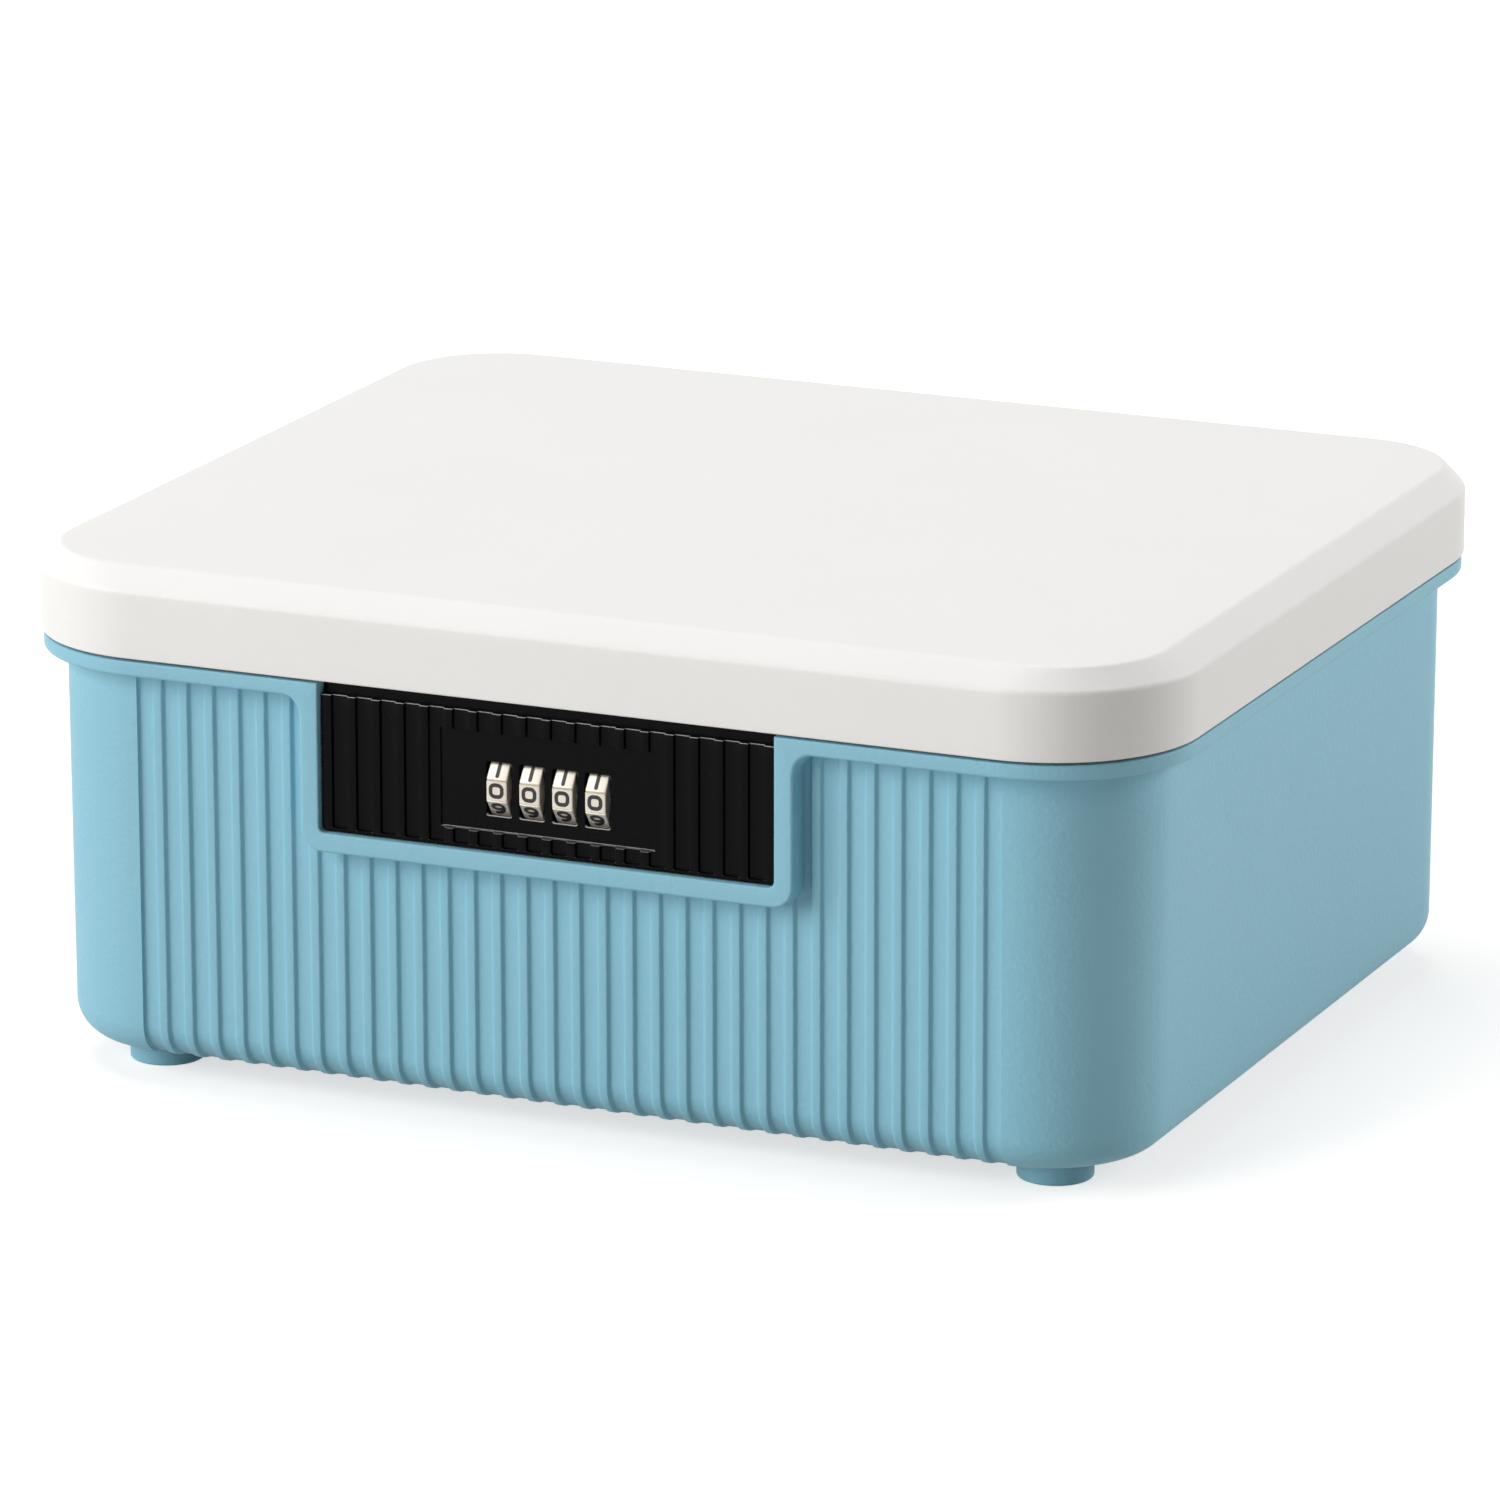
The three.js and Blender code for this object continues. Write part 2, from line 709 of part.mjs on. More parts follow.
function lockCase() {
  const left = lockCentreX - caseHalf;
  const right = lockCentreX + caseHalf;
  const body = block(left, right, caseFrontY, caseBackY, caseBottomZ, caseTopZ);
  const ears = [];
  for (const [x, z] of lockScrewPlaces()) {
    const outerX = x + Math.sign(x - lockCentreX) * earMargin;
    const innerX = lockCentreX + Math.sign(x - lockCentreX) * (caseHalf - caseWall / 2);
    ears.push(block(
      Math.min(outerX, innerX), Math.max(outerX, innerX), earFrontY, earFrontY + earThickness,
      z - earHeight / 2, z + earHeight / 2,
    ));
  }
  const tools = [
    block(
      lockCentreX - caseHalfInner, lockCentreX + caseHalfInner, caseFrontY - overrun, caseBackInnerY,
      caseBottomInnerZ, caseTopInnerZ,
    ),
    rodX(spindleRadius + gap, dialAxisY, dialAxisZ, left - overrun, right + overrun),
  ];
  for (const x of dialCentres) {
    tools.push(block(
      x + lugStartX - gap, x + fingerEndX + gap,
      combFrontY - fingerSwing - gap, combFrontY + fingerDepth + gap,
      caseTopInnerZ - overrun, caseTopZ + overrun,
    ));
  }
  for (const [x, z] of lockScrewPlaces()) {
    tools.push(rodY(screwHoleRadius, x, z, earFrontY - overrun, earFrontY + earThickness + overrun));
  }
  for (const [x, z] of springScrewPlaces()) {
    tools.push(rodY(screwHoleRadius, x, z, caseBackInnerY - overrun, caseBackY + overrun));
  }
  return cut(joined(body, ...ears), tools);
}

// A ten-sided dial ring, centred on its own axis, with chamfered side edges
function dialRing() {
  const half = dialWidth / 2;
  const facetRing = ([radius, x]) => {
    const ring = [];
    for (let i = 0; i < dialFacets; i++) {
      const angle = (i + 0.5) * 2 * Math.PI / dialFacets;
      ring.push([x, radius * Math.cos(angle), radius * Math.sin(angle)]);
    }
    return ring;
  };
  const body = stacked([
    [dialCornerRadius - dialChamfer, -half],
    [dialCornerRadius, -half + dialChamfer],
    [dialCornerRadius, half - dialChamfer],
    [dialCornerRadius - dialChamfer, half],
  ].map(facetRing));
  return cut(body, [rodX(cupOuterRadius + gap, 0, 0, -half - overrun, half + overrun, roundSteps)]);
}

// The code sleeve: a hub on the spindle, a web, and a cupped rim with one gate facing up
function codeSleeve() {
  const start = -dialWidth / 2;
  const profile = [
    [spindleRadius + gap, start],
    [cupOuterRadius, start],
    [cupOuterRadius, cupEndX],
    [cupInnerRadius, cupEndX],
    [cupInnerRadius, sleeveWebEnd],
    [hubRadius, sleeveWebEnd],
    [hubRadius, hubEndX],
    [spindleRadius + gap, hubEndX],
    [spindleRadius + gap, start],
  ];
  const body = turned(profile, boreSteps).rotateY(Math.PI / 2);
  const gate = block(
    lugStartX - gap, cupEndX + overrun,
    fingerSetBack - lugWidth / 2 - fingerSwing / 3 - gap, fingerSetBack + lugWidth / 2 + gap,
    hubRadius + gap, cupOuterRadius + overrun,
  );
  return cut(body, [gate]);
}

function strikeComb() {
  const plate = block(
    lockCentreX - combHalf, lockCentreX + combHalf,
    combFrontY, combFrontY + combLength, combBottomZ, combTopZ,
  );
  const fingers = [];
  for (const x of dialCentres) {
    fingers.push(block(
      x + fingerStartX, x + fingerEndX, combFrontY, combFrontY + fingerDepth, lugBottomZ, combTopZ - gap,
    ));
    fingers.push(block(
      x + lugStartX, x + fingerStartX + fingerThickness / 2,
      fingerY - lugWidth / 2, fingerY + lugWidth / 2, lugBottomZ, lugBottomZ + lugHeight,
    ));
  }
  const holes = combScrewPlaces().map(([x, y]) => {
    return rodZ(screwHoleRadius, x, y, combBottomZ - overrun, combTopZ + overrun);
  });
  return cut(joined(plate, ...fingers), holes);
}

// The spring's foot lies on the case's back wall, and its leaves lean forwards to the dials
function springScrewPlaces() {
  const z = caseBottomInnerZ + springFootHeight / 2 + gap;
  return [-1, 1].map((side) => [lockCentreX + side * (rowHalf + screwHeadRadius), z]);
}

function detentSpring() {
  const backY = caseBackInnerY - gap;
  const tipY = dialAxisY + dialCornerRadius + springTipGap + springThickness;
  const footBottomZ = caseBottomInnerZ + gap;
  const footTopZ = footBottomZ + springFootHeight;
  const foot = block(
    lockCentreX - rowHalf - dialPitch / 2, lockCentreX + rowHalf + dialPitch / 2,
    backY - springThickness, backY, footBottomZ, footTopZ,
  );
  const tipZ = dialAxisZ + springFootHeight / 4;
  const leafOutline = [
    new THREE.Vector2(backY, footTopZ - springThickness),
    new THREE.Vector2(tipY, tipZ - springThickness),
    new THREE.Vector2(tipY, tipZ + springFootHeight / 4),
    new THREE.Vector2(tipY - springThickness, tipZ + springFootHeight / 4),
    new THREE.Vector2(tipY - springThickness, tipZ),
    new THREE.Vector2(backY - springThickness, footTopZ - springThickness),
  ];
  const leaves = dialCentres.map((x) => alongX(leafOutline, x - leafWidth / 2, x + leafWidth / 2));
  const holes = springScrewPlaces().map(([x, z]) => {
    return rodY(screwHoleRadius, x, z, backY - springThickness - overrun, backY + overrun);
  });
  return cut(joined(foot, ...leaves), holes);
}

// A screw standing on z = 0 with its head below and its shank up, and a slot across the head
function screw(length) {
  const head = [[0, -screwHeadHeight], [screwHeadRadius, -screwHeadHeight], [screwHeadRadius, 0], [0, 0]];
  const body = joined(
    turned(head, boreSteps),
    rodZ(screwRadius, 0, 0, -screwHeadHeight / 2, length, boreSteps / 2),
  );
  const slot = block(
    -driveSlotWidth / 2, driveSlotWidth / 2, -screwHeadRadius - overrun, screwHeadRadius + overrun,
    -screwHeadHeight - overrun, -screwHeadHeight + driveSlotDepth,
  );
  return cut(body, [slot]);
}

// A push-in foot standing on z = 0, with a barbed stem through the tub's floor
function foot() {
  const barbZ = footHeight + floorThickness + gap;
  return turned([
    [0, 0],
    [footRadius - footRound, 0],
    [footRadius, footRound],
    [footRadius, footHeight - gap],
    [footStemRadius, footHeight - gap],
    [footStemRadius, barbZ],
    [footBarbRadius, barbZ],
    [footStemRadius, barbZ + footBarbHeight],
    [0, barbZ + footBarbHeight],
  ]);
}

function hingePin() {
  const head = rodX(pinHeadRadius, 0, 0, -pinHeadLength - gap, -gap);
  return joined(head, rodX(pinRadius, 0, 0, -gap - pinHeadLength / 2, hingeLength + gap));
}

function spindle() {
  return rodX(spindleRadius, 0, 0, -caseHalf - spindleEndLength, caseHalf + spindleEndLength);
}

function spindleClip() {
  return turned([
    [spindleRadius + gap, 0],
    [clipRadius, 0],
    [clipRadius, clipThickness],
    [spindleRadius + gap, clipThickness],
    [spindleRadius + gap, 0],
  ], boreSteps).rotateY(Math.PI / 2);
}

// The assembly
const lockBox = new THREE.Group();
const model = new THREE.Group();
model.position.set(0, -hingeOverhang / 2, -floorZ);
lockBox.add(model);

function add(name, geometry, material, x = 0, y = 0, z = 0) {
  const mesh = new THREE.Mesh(geometry, material);
  mesh.name = name;
  mesh.position.set(x, y, z);
  model.add(mesh);
  return mesh;
}

add('base_tub', baseTub(), tubBlue);
const footNames = ['foot_front_left', 'foot_front_right', 'foot_rear_left', 'foot_rear_right'];
footPlaces().forEach(([x, y], i) => add(footNames[i], foot(), tubBlue, x, y, floorZ));
add('rim_seal', rimSeal(), sealRubber);
add('lock_faceplate', lockFaceplate(), lockBlack);
add('lock_case', lockCase(), innerPlastic);
add('dial_spindle', spindle(), steel, lockCentreX, dialAxisY, dialAxisZ);
const clipOffset = caseHalf + gap;
const leftClipX = lockCentreX - clipOffset - clipThickness;
add('spindle_clip_left', spindleClip(), steel, leftClipX, dialAxisY, dialAxisZ);
add('spindle_clip_right', spindleClip(), steel, lockCentreX + clipOffset, dialAxisY, dialAxisZ);
dialCentres.forEach((x, i) => {
  add(`dial_${i + 1}`, dialRing(), nickel, x, dialAxisY, dialAxisZ);
  add(`code_sleeve_${i + 1}`, codeSleeve(), steel, x, dialAxisY, dialAxisZ);
});
add('detent_spring', detentSpring(), steel);
springScrewPlaces().forEach(([x, z], i) => {
  const length = caseWall + 2 * gap;
  const seat = caseBackInnerY - 2 * gap - springThickness;
  add(`spring_screw_${i + 1}`, screw(length), steel, x, seat, z).rotation.x = -Math.PI / 2;
});
lockScrewPlaces().forEach(([x, z], i) => {
  const seat = earFrontY + earThickness + gap;
  const length = seat - plateBackY;
  add(`lock_screw_${i + 1}`, screw(length), steel, x, seat, z).rotation.x = Math.PI / 2;
});
add('lid_shell', lidShell(), lidWhite);
add('lid_liner', lidLiner(), lidWhite);
linerScrewPlaces().forEach(([x, y], i) => {
  add(`liner_screw_${i + 1}`, screw(linerThickness + lidScrewBite), steel, x, y, -gap);
});
add('strike_comb', strikeComb(), steel);
combScrewPlaces().forEach(([x, y], i) => {
  add(`comb_screw_${i + 1}`, screw(linerThickness + lidScrewBite), steel, x, y, combBottomZ - gap);
});
hingeSpans().forEach(({ start }, i) => {
  add(i ? 'hinge_pin_right' : 'hinge_pin_left', hingePin(), steel, start, hingeAxisY, hingeAxisZ);
});

export default lockBox;
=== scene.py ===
# %% [markdown]
# # A medication lock box, dressed for its picture
#
# The real object is a moulded blue tub with a fluted front, a white hinged lid and a black
# lock plate with four number dials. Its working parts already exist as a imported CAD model.
# This script keeps that model as a fixed frame and makes the surfaces that the eye sees:
# rounded edges, fine flutes, digits and finishes. Shapes are worked out with numpy, because
# a moulded part is a profile carried round an outline, and that is one formula on a grid.

import math

import bpy
import numpy as np
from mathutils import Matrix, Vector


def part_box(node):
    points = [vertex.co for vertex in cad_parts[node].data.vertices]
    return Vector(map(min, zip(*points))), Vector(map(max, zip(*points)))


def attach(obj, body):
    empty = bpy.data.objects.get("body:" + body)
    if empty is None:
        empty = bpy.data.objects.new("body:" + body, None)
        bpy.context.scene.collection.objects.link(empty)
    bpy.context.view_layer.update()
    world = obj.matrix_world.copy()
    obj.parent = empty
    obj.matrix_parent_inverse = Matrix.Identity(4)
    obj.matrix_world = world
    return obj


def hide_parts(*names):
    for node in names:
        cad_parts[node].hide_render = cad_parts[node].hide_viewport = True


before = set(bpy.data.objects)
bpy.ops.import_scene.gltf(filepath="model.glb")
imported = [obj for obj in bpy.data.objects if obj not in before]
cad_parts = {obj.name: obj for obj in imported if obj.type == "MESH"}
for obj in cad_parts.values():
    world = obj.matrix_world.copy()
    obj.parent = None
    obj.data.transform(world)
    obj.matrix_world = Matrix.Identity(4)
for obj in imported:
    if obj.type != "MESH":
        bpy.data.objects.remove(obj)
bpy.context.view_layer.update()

# %% [markdown]
# ## Where things are
#
# All shapes here are worked out in millimetres. Heights count from the parting plane, where
# the lid meets the tub, and depths from the middle of the lid, because the box is symmetrical
# about both. The frame says where that point lies, so nothing is placed by eye.

# %% The box's own measures, in millimetres
METRES_PER_MM = 0.001
TUB_HEIGHT = 103.2
BOX_DEPTH = 254.0
CORNER_RADIUS = 37.0

lid_low, lid_high = np.array(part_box("lid_shell")) / METRES_PER_MM
tub_low = np.array(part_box("base_tub"))[0] / METRES_PER_MM
HALF_WIDTH = lid_high[0]
HALF_DEPTH = BOX_DEPTH / 2
FRONT_Y = -HALF_DEPTH
ORIGIN = np.array([0.0, lid_low[1] + HALF_DEPTH, tub_low[2] + TUB_HEIGHT])
print("half width %.1f, the parting plane is %.1f above the floor" % (HALF_WIDTH, ORIGIN[2]))


def from_origin(corners):
    """The two corners of a CAD node's box, in millimetres from the origin of the drawing."""
    return np.array(corners) / METRES_PER_MM - ORIGIN


# %% [markdown]
# ## From arrays to a piece
#
# A closed surface is easiest to trust when every piece is made in one place. This helper
# turns points and faces into a mesh, checks with the signed volume that its faces point
# outwards, hangs it on the empty of the body that carries it, and hides the CAD nodes it stands for.

# %% Make a piece
SHARP_ANGLE = math.radians(32)


def signed_volume(points, faces):
    """Sum of the tetrahedra from the origin to each triangle of a fan over every face."""
    total = 0.0
    for size in sorted({len(f) for f in faces}):
        corners = points[np.array([f for f in faces if len(f) == size])]
        for k in range(1, size - 1):
            cross = np.cross(corners[:, k], corners[:, k + 1])
            total += np.einsum("ij,ij->", corners[:, 0], cross) / 6
    return total


def new_object(name, data):
    """An object for the data, linked to the scene."""
    made = bpy.data.objects.new(name, data)
    bpy.context.scene.collection.objects.link(made)
    return made


def new_mesh(name, points, faces):
    """A mesh in metres from points in millimetres, with its faces turned outwards."""
    points = np.asarray(points, float)
    if signed_volume(points, faces) < 0:
        faces = [tuple(reversed(f)) for f in faces]
    mesh = bpy.data.meshes.new(name)
    mesh.from_pydata(((points + ORIGIN) * METRES_PER_MM).tolist(), [], [tuple(f) for f in faces])
    return new_object(name, mesh)


def finish_piece(made, body, nodes, finish):
    """Smooth shading with sharp edges kept, one material, and the piece's place in the frame."""
    made.data.shade_smooth()
    made.data.set_sharp_from_angle(angle=SHARP_ANGLE)
    made.data.materials.clear()
    made.data.materials.append(finish)
    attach(made, body)
    if nodes:
        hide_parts(*nodes)
    print("%-20s %6d faces on %s" % (made.name, len(made.data.polygons), body))
    return made


# %% [markdown]
# ## The surface formulas
#
# Nearly every moulded part here is one of three things: rings stacked into a closed skin, an
# outline pushed along an axis, or a profile turned about an axis. Each is a function of two
# parameters, so each is one grid.

# %% Rings, prisms and turned forms
def grid_faces(levels, count, looped=False):
    """Quads between neighbouring rings: corner (l, i) joins (l, i+1), (l+1, i+1) and (l+1, i)."""
    level, i = np.meshgrid(np.arange(levels if looped else levels - 1), np.arange(count), indexing="ij")
    after = (i + 1) % count
    above = (level + 1) % levels
    quads = np.stack([level * count + i, level * count + after, above * count + after, above * count + i], -1)
    return quads.reshape(-1, 4)


def loop_skin(name, rings):
    """Closed surface through rings that also join the last one to the first, like a hoop."""
    rings = np.asarray(rings, float)
    levels, count = rings.shape[:2]
    faces = [tuple(f) for f in grid_faces(levels, count, looped=True)]
    return new_mesh(name, rings.reshape(-1, 3), faces)


def skin(name, rings):
    """Closed surface through rings (level, point, xyz), with a fan to the mean at both ends."""
    rings = np.asarray(rings, float)
    levels, count = rings.shape[:2]
    points = np.concatenate([rings.reshape(-1, 3), [rings[0].mean(0)], [rings[-1].mean(0)]])
    i = np.arange(count)
    after = (i + 1) % count
    first = np.stack([np.full(count, levels * count), after, i], -1)
    top = (levels - 1) * count
    last = np.stack([np.full(count, levels * count + 1), top + i, top + after], -1)
    faces = [tuple(f) for f in grid_faces(levels, count)]
    return new_mesh(name, points, faces + [tuple(f) for f in first] + [tuple(f) for f in last])


def prism(name, outline, axis, start, end):
    """An outline pushed along one axis, closed by one flat face at each end."""
    outline = np.asarray(outline, float)
    count = len(outline)
    points = np.concatenate([np.insert(outline, axis, place, axis=1) for place in (start, end)])
    faces = [tuple(f) for f in grid_faces(2, count)]
    faces += [tuple(range(count))[::-1], tuple(range(count, 2 * count))]
    return new_mesh(name, points, faces)


def block(name, low, high):
    """A box between two corners, for use as a cutting or joining tool."""
    outline = [(low[0], low[1]), (high[0], low[1]), (high[0], high[1]), (low[0], high[1])]
    return prism(name, outline, 2, low[2], high[2])


def arc(centre, radius, start, end, steps):
    """Points at centre + radius * (cos a, sin a), with a in degrees from start to end."""
    angle = np.radians(np.linspace(start, end, steps + 1))
    radius = np.broadcast_to(radius, 2)
    return np.stack([centre[0] + radius[0] * np.cos(angle), centre[1] + radius[1] * np.sin(angle)], -1)


def turned(name, profile, axis, centre, steps=72):
    """A closed profile of (radius, place along the axis) turned about that axis."""
    profile = np.asarray(profile, float)
    angle = np.linspace(0, 2 * np.pi, steps, endpoint=False)
    u, v = [k for k in range(3) if k != axis]
    rings = np.zeros((len(profile), steps, 3))
    rings[..., u] = profile[:, :1] * np.cos(angle)
    rings[..., v] = profile[:, :1] * np.sin(angle)
    rings[..., axis] = profile[:, 1:]
    return skin(name, rings + np.asarray(centre, float))


# %% [markdown]
# ## The outline of the box
#
# Seen from above, the box is a rectangle with round corners. Drawing it in by an inset keeps
# each corner's centre, so rings at different heights have matching points and straight walls
# stay straight. The front run has its own points, placed where the flutes need them.

# %% Rings of the box
CORNER_STEPS = 24
SIDE_STEPS = 12
LEAST_CORNER = 4.0


def box_ring(inset, z, front_x, corner=None):
    """Rounded rectangle at a height; corner radius is the lid's less the inset, or as given."""
    radius = max(CORNER_RADIUS - inset, LEAST_CORNER) if corner is None else corner
    x, y = HALF_WIDTH - inset, HALF_DEPTH - inset
    across = x - radius
    span = np.linspace(-1, 1, SIDE_STEPS + 1)[1:-1]
    front = np.stack([front_x / abs(front_x).max() * across, np.full(len(front_x), -y)], -1)
    right = np.stack([np.full(len(span), x), span * (y - radius)], -1)
    back = np.stack([-span * across, np.full(len(span), y)], -1)
    left = np.stack([np.full(len(span), -x), -span * (y - radius)], -1)
    turns = [arc((sx * across, sy * (y - radius)), radius, start, start + 90, CORNER_STEPS)
             for sx, sy, start in ((1, -1, -90), (1, 1, 0), (-1, 1, 90), (-1, -1, 180))]
    ring = np.concatenate([front[1:-1], turns[0], right, turns[1], back, turns[2], left, turns[3]])
    return np.column_stack([ring, np.full(len(ring), z)])


def softened(points, radii, steps=5):
    """A polyline whose corners become arcs: each arc starts and ends at radius * tan(turn / 2)."""
    points = np.asarray(points, float)
    made = [points[:1]]
    for before, corner, after, radius in zip(points, points[1:], points[2:], radii):
        back, ahead = before - corner, after - corner
        back, ahead = back / np.linalg.norm(back), ahead / np.linalg.norm(ahead)
        turn = np.pi - np.arccos(np.clip(back @ ahead, -1, 1))
        if radius == 0 or turn < 1e-6:
            made.append(corner[None])
            continue
        middle = (back + ahead) / np.linalg.norm(back + ahead)
        centre = corner + middle * radius / np.cos(turn / 2)
        swing = np.linspace(-turn / 2, turn / 2, steps + 1)[:, None]
        side = np.array([-middle[1], middle[0]])
        side = side if side @ ahead > 0 else -side
        made.append(centre - middle * radius * np.cos(swing) + side * radius * np.sin(swing))
    made.append(points[-1:])
    return np.concatenate(made)


# %% [markdown]
# ## Joining and cutting
#
# A mould makes a hole by leaving plastic out, and a solid modeller makes it by subtracting a
# tool. Blender's Boolean does the same. The steps are applied at once and the tools deleted,
# so that what is left is one plain closed mesh.

# %% Join and cut
def worked(piece, steps):
    """Applies (operation, tool) pairs in order and deletes the tools."""
    for operation, tool in steps:
        step = piece.modifiers.new(operation, "BOOLEAN")
        step.operation = operation
        step.solver = "MANIFOLD"
        step.object = tool
    graph = bpy.context.evaluated_depsgraph_get()
    result = bpy.data.meshes.new_from_object(piece.evaluated_get(graph))
    piece.modifiers.clear()
    old, piece.data = piece.data, result
    bpy.data.meshes.remove(old)
    for _, tool in steps:
        mesh = tool.data
        bpy.data.objects.remove(tool)
        bpy.data.meshes.remove(mesh)
    piece.data.name = piece.name
    return piece


def gathered(name, tools):
    """Several tools that don't touch each other, as one object."""
    points, faces, start = [], [], 0
    for tool in tools:
        mesh = tool.data
        flat = np.empty(len(mesh.vertices) * 3)
        mesh.vertices.foreach_get("co", flat)
        points.append(flat.reshape(-1, 3) / METRES_PER_MM - ORIGIN)
        faces += [tuple(start + v for v in face.vertices) for face in mesh.polygons]
        start += len(mesh.vertices)
        bpy.data.objects.remove(tool)
        bpy.data.meshes.remove(mesh)
    return new_mesh(name, np.concatenate(points), faces)


def rod(centre, radius, axis, start, end, steps=32):
    """A round bar along an axis: it drills a hole, or is joined on as a boss."""
    return prism("rod", arc(centre, radius, 0, 360, steps)[:-1], axis, start, end)


# %% [markdown]
# ## Finishes
#
# Each finish starts from the real stuff and how its surface was made. Colours are written as
# they look on a screen and turned into linear light by one function. One small function adds a
# node and its links, so that every finish below reads as a short recipe.

# %% Helpers for finishes
def linear(hex_colour):
    """Linear colour of an sRGB hex value: c/12.92 near black, else ((c+0.055)/1.055)^2.4."""
    srgb = np.array([int(hex_colour[k:k + 2], 16) for k in (1, 3, 5)]) / 255
    low, high = srgb / 12.92, ((srgb + 0.055) / 1.055) ** 2.4
    return (*np.where(srgb <= 0.04045, low, high).tolist(), 1.0)


def fill(tree, node, inputs):
    """Gives each input its value, or links it to the output socket that feeds it."""
    for socket, value in inputs.items():
        if isinstance(value, bpy.types.NodeSocket):
            tree.links.new(value, node.inputs[socket])
        else:
            node.inputs[socket].default_value = value


def add_node(tree, kind, inputs=None, **settings):
    """Adds a node with its settings, then fills its inputs."""
    made = tree.nodes.new(kind)
    for name, value in settings.items():
        setattr(made, name, value)
    fill(tree, made, inputs or {})
    return made


def per_metre(size_mm):
    """Texture scale that gives one feature for each size_mm."""
    return 1 / (size_mm * METRES_PER_MM)


def surface_from(tree, shader, pattern, roughness, spread, height_mm, strength):
    """One pattern drives both: roughness plus or minus a spread, and a bump of a height."""
    gloss = add_node(tree, "ShaderNodeMapRange", {
        "Value": pattern, "To Min": roughness - spread, "To Max": roughness + spread})
    bump = add_node(tree, "ShaderNodeBump", {
        "Height": pattern, "Distance": height_mm * METRES_PER_MM, "Strength": strength})
    fill(tree, shader, {"Roughness": gloss.outputs["Result"], "Normal": bump.outputs["Normal"]})


def new_finish(name):
    """An empty material with its shader and the piece's own coordinates."""
    made = bpy.data.materials.new(name)
    made.use_nodes = True
    tree = made.node_tree
    shader = tree.nodes["Principled BSDF"]
    place = add_node(tree, "ShaderNodeTexCoord").outputs["Object"]
    return made, tree, shader, place


# %% [markdown]
# ### Moulded plastics
#
# The tub, lid and plate are injection moulded. Their moulds are spark eroded, which leaves a
# pebbled grain finer than half a millimetre. It would be lost between the pixels, so on the tub
# and the lid it is drawn at 1.2 to 1.3 mm and too deep, as coarse as it needs to be to show. The
# grain scatters highlights, so the plastic looks matt. Slow waves of colour show where it flowed.

# %% Moulded plastic
FLOW_MM = 45
PLASTIC_IOR = 1.49
GRAIN_STRENGTH = 0.5
GRAIN_SPREAD = 0.05


def moulded_plastic(name, colour, flow_colour, grain_mm, grain_height_mm, roughness, specular=0.5):
    """Spark-eroded plastic: fine bump grain, slow colour waves, slightly uneven gloss."""
    made, tree, shader, place = new_finish(name)
    grain = add_node(tree, "ShaderNodeTexNoise", {
        "Vector": place, "Scale": per_metre(grain_mm), "Detail": 3.0})
    flow = add_node(tree, "ShaderNodeTexNoise", {
        "Vector": place, "Scale": per_metre(FLOW_MM), "Detail": 2.0})
    tint = add_node(tree, "ShaderNodeMix", {
        "Factor": flow.outputs["Fac"], "A": linear(colour), "B": linear(flow_colour)}, data_type="RGBA")
    surface_from(tree, shader, grain.outputs["Fac"], roughness, GRAIN_SPREAD, grain_height_mm, GRAIN_STRENGTH)
    fill(tree, shader, {"Base Color": tint.outputs["Result"], "IOR": PLASTIC_IOR,
                        "Specular IOR Level": specular})
    return made


tub_finish = moulded_plastic("polypropylene_blue_spark_eroded", "#8DC3D5", "#88BFD2", 1.3, 0.3, 0.52,
                             specular=0.4)
lid_finish = moulded_plastic("abs_white_spark_eroded", "#EFEEEC", "#ECEBE9", 1.2, 0.12, 0.5)
liner_finish = moulded_plastic("abs_white_inner", "#E6E5E2", "#E2E1DE", 0.8, 0.03, 0.55)
plate_finish = moulded_plastic("abs_black_satin", "#070708", "#050506", 0.5, 0.008, 0.28, specular=0.065)
case_finish = moulded_plastic("acetal_dark_moulded", "#2A2C2E", "#26282A", 0.7, 0.02, 0.5)
seal_finish = moulded_plastic("epdm_rubber_extruded", "#15171A", "#111316", 0.3, 0.02, 0.8)


# %% [markdown]
# ### Metals and paint
#
# The dials are zinc castings with satin nickel plate. It is drawn as only partly metallic, because
# pure metal mirrors the white room and turns the upper facets nearly white, paler than the photo
# shows them. The hidden steel is zinc plated and drawn or stamped, so it has fine lines along one
# way. The digits are black paint wiped into the dials.

# %% Plated metal and paint
ALONG_LINES = (0.1, 1.0, 1.0)
LINE_STRENGTH = 0.3
LINE_SPREAD = 0.06


def plated_metal(name, colour, roughness, line_mm, line_height_mm, metallic=1.0):
    """Bright metal with fine scratches along X: noise stretched tenfold along the piece."""
    made, tree, shader, place = new_finish(name)
    stretch = add_node(tree, "ShaderNodeMapping", {"Vector": place, "Scale": ALONG_LINES})
    lines = add_node(tree, "ShaderNodeTexNoise", {
        "Vector": stretch.outputs["Vector"], "Scale": per_metre(line_mm), "Detail": 2.0})
    surface_from(tree, shader, lines.outputs["Fac"], roughness, LINE_SPREAD, line_height_mm, LINE_STRENGTH)
    fill(tree, shader, {"Base Color": linear(colour), "Metallic": metallic})
    return made


nickel_finish = plated_metal("nickel_plated_zinc", "#CDC6BA", 0.4, 0.4, 0.004, metallic=0.65)
steel_finish = plated_metal("zinc_plated_steel", "#B9BCBE", 0.34, 0.3, 0.006)
paint_finish = moulded_plastic("enamel_black_wiped", "#121212", "#161616", 0.3, 0.005, 0.4)
print("finishes:", len(bpy.data.materials))
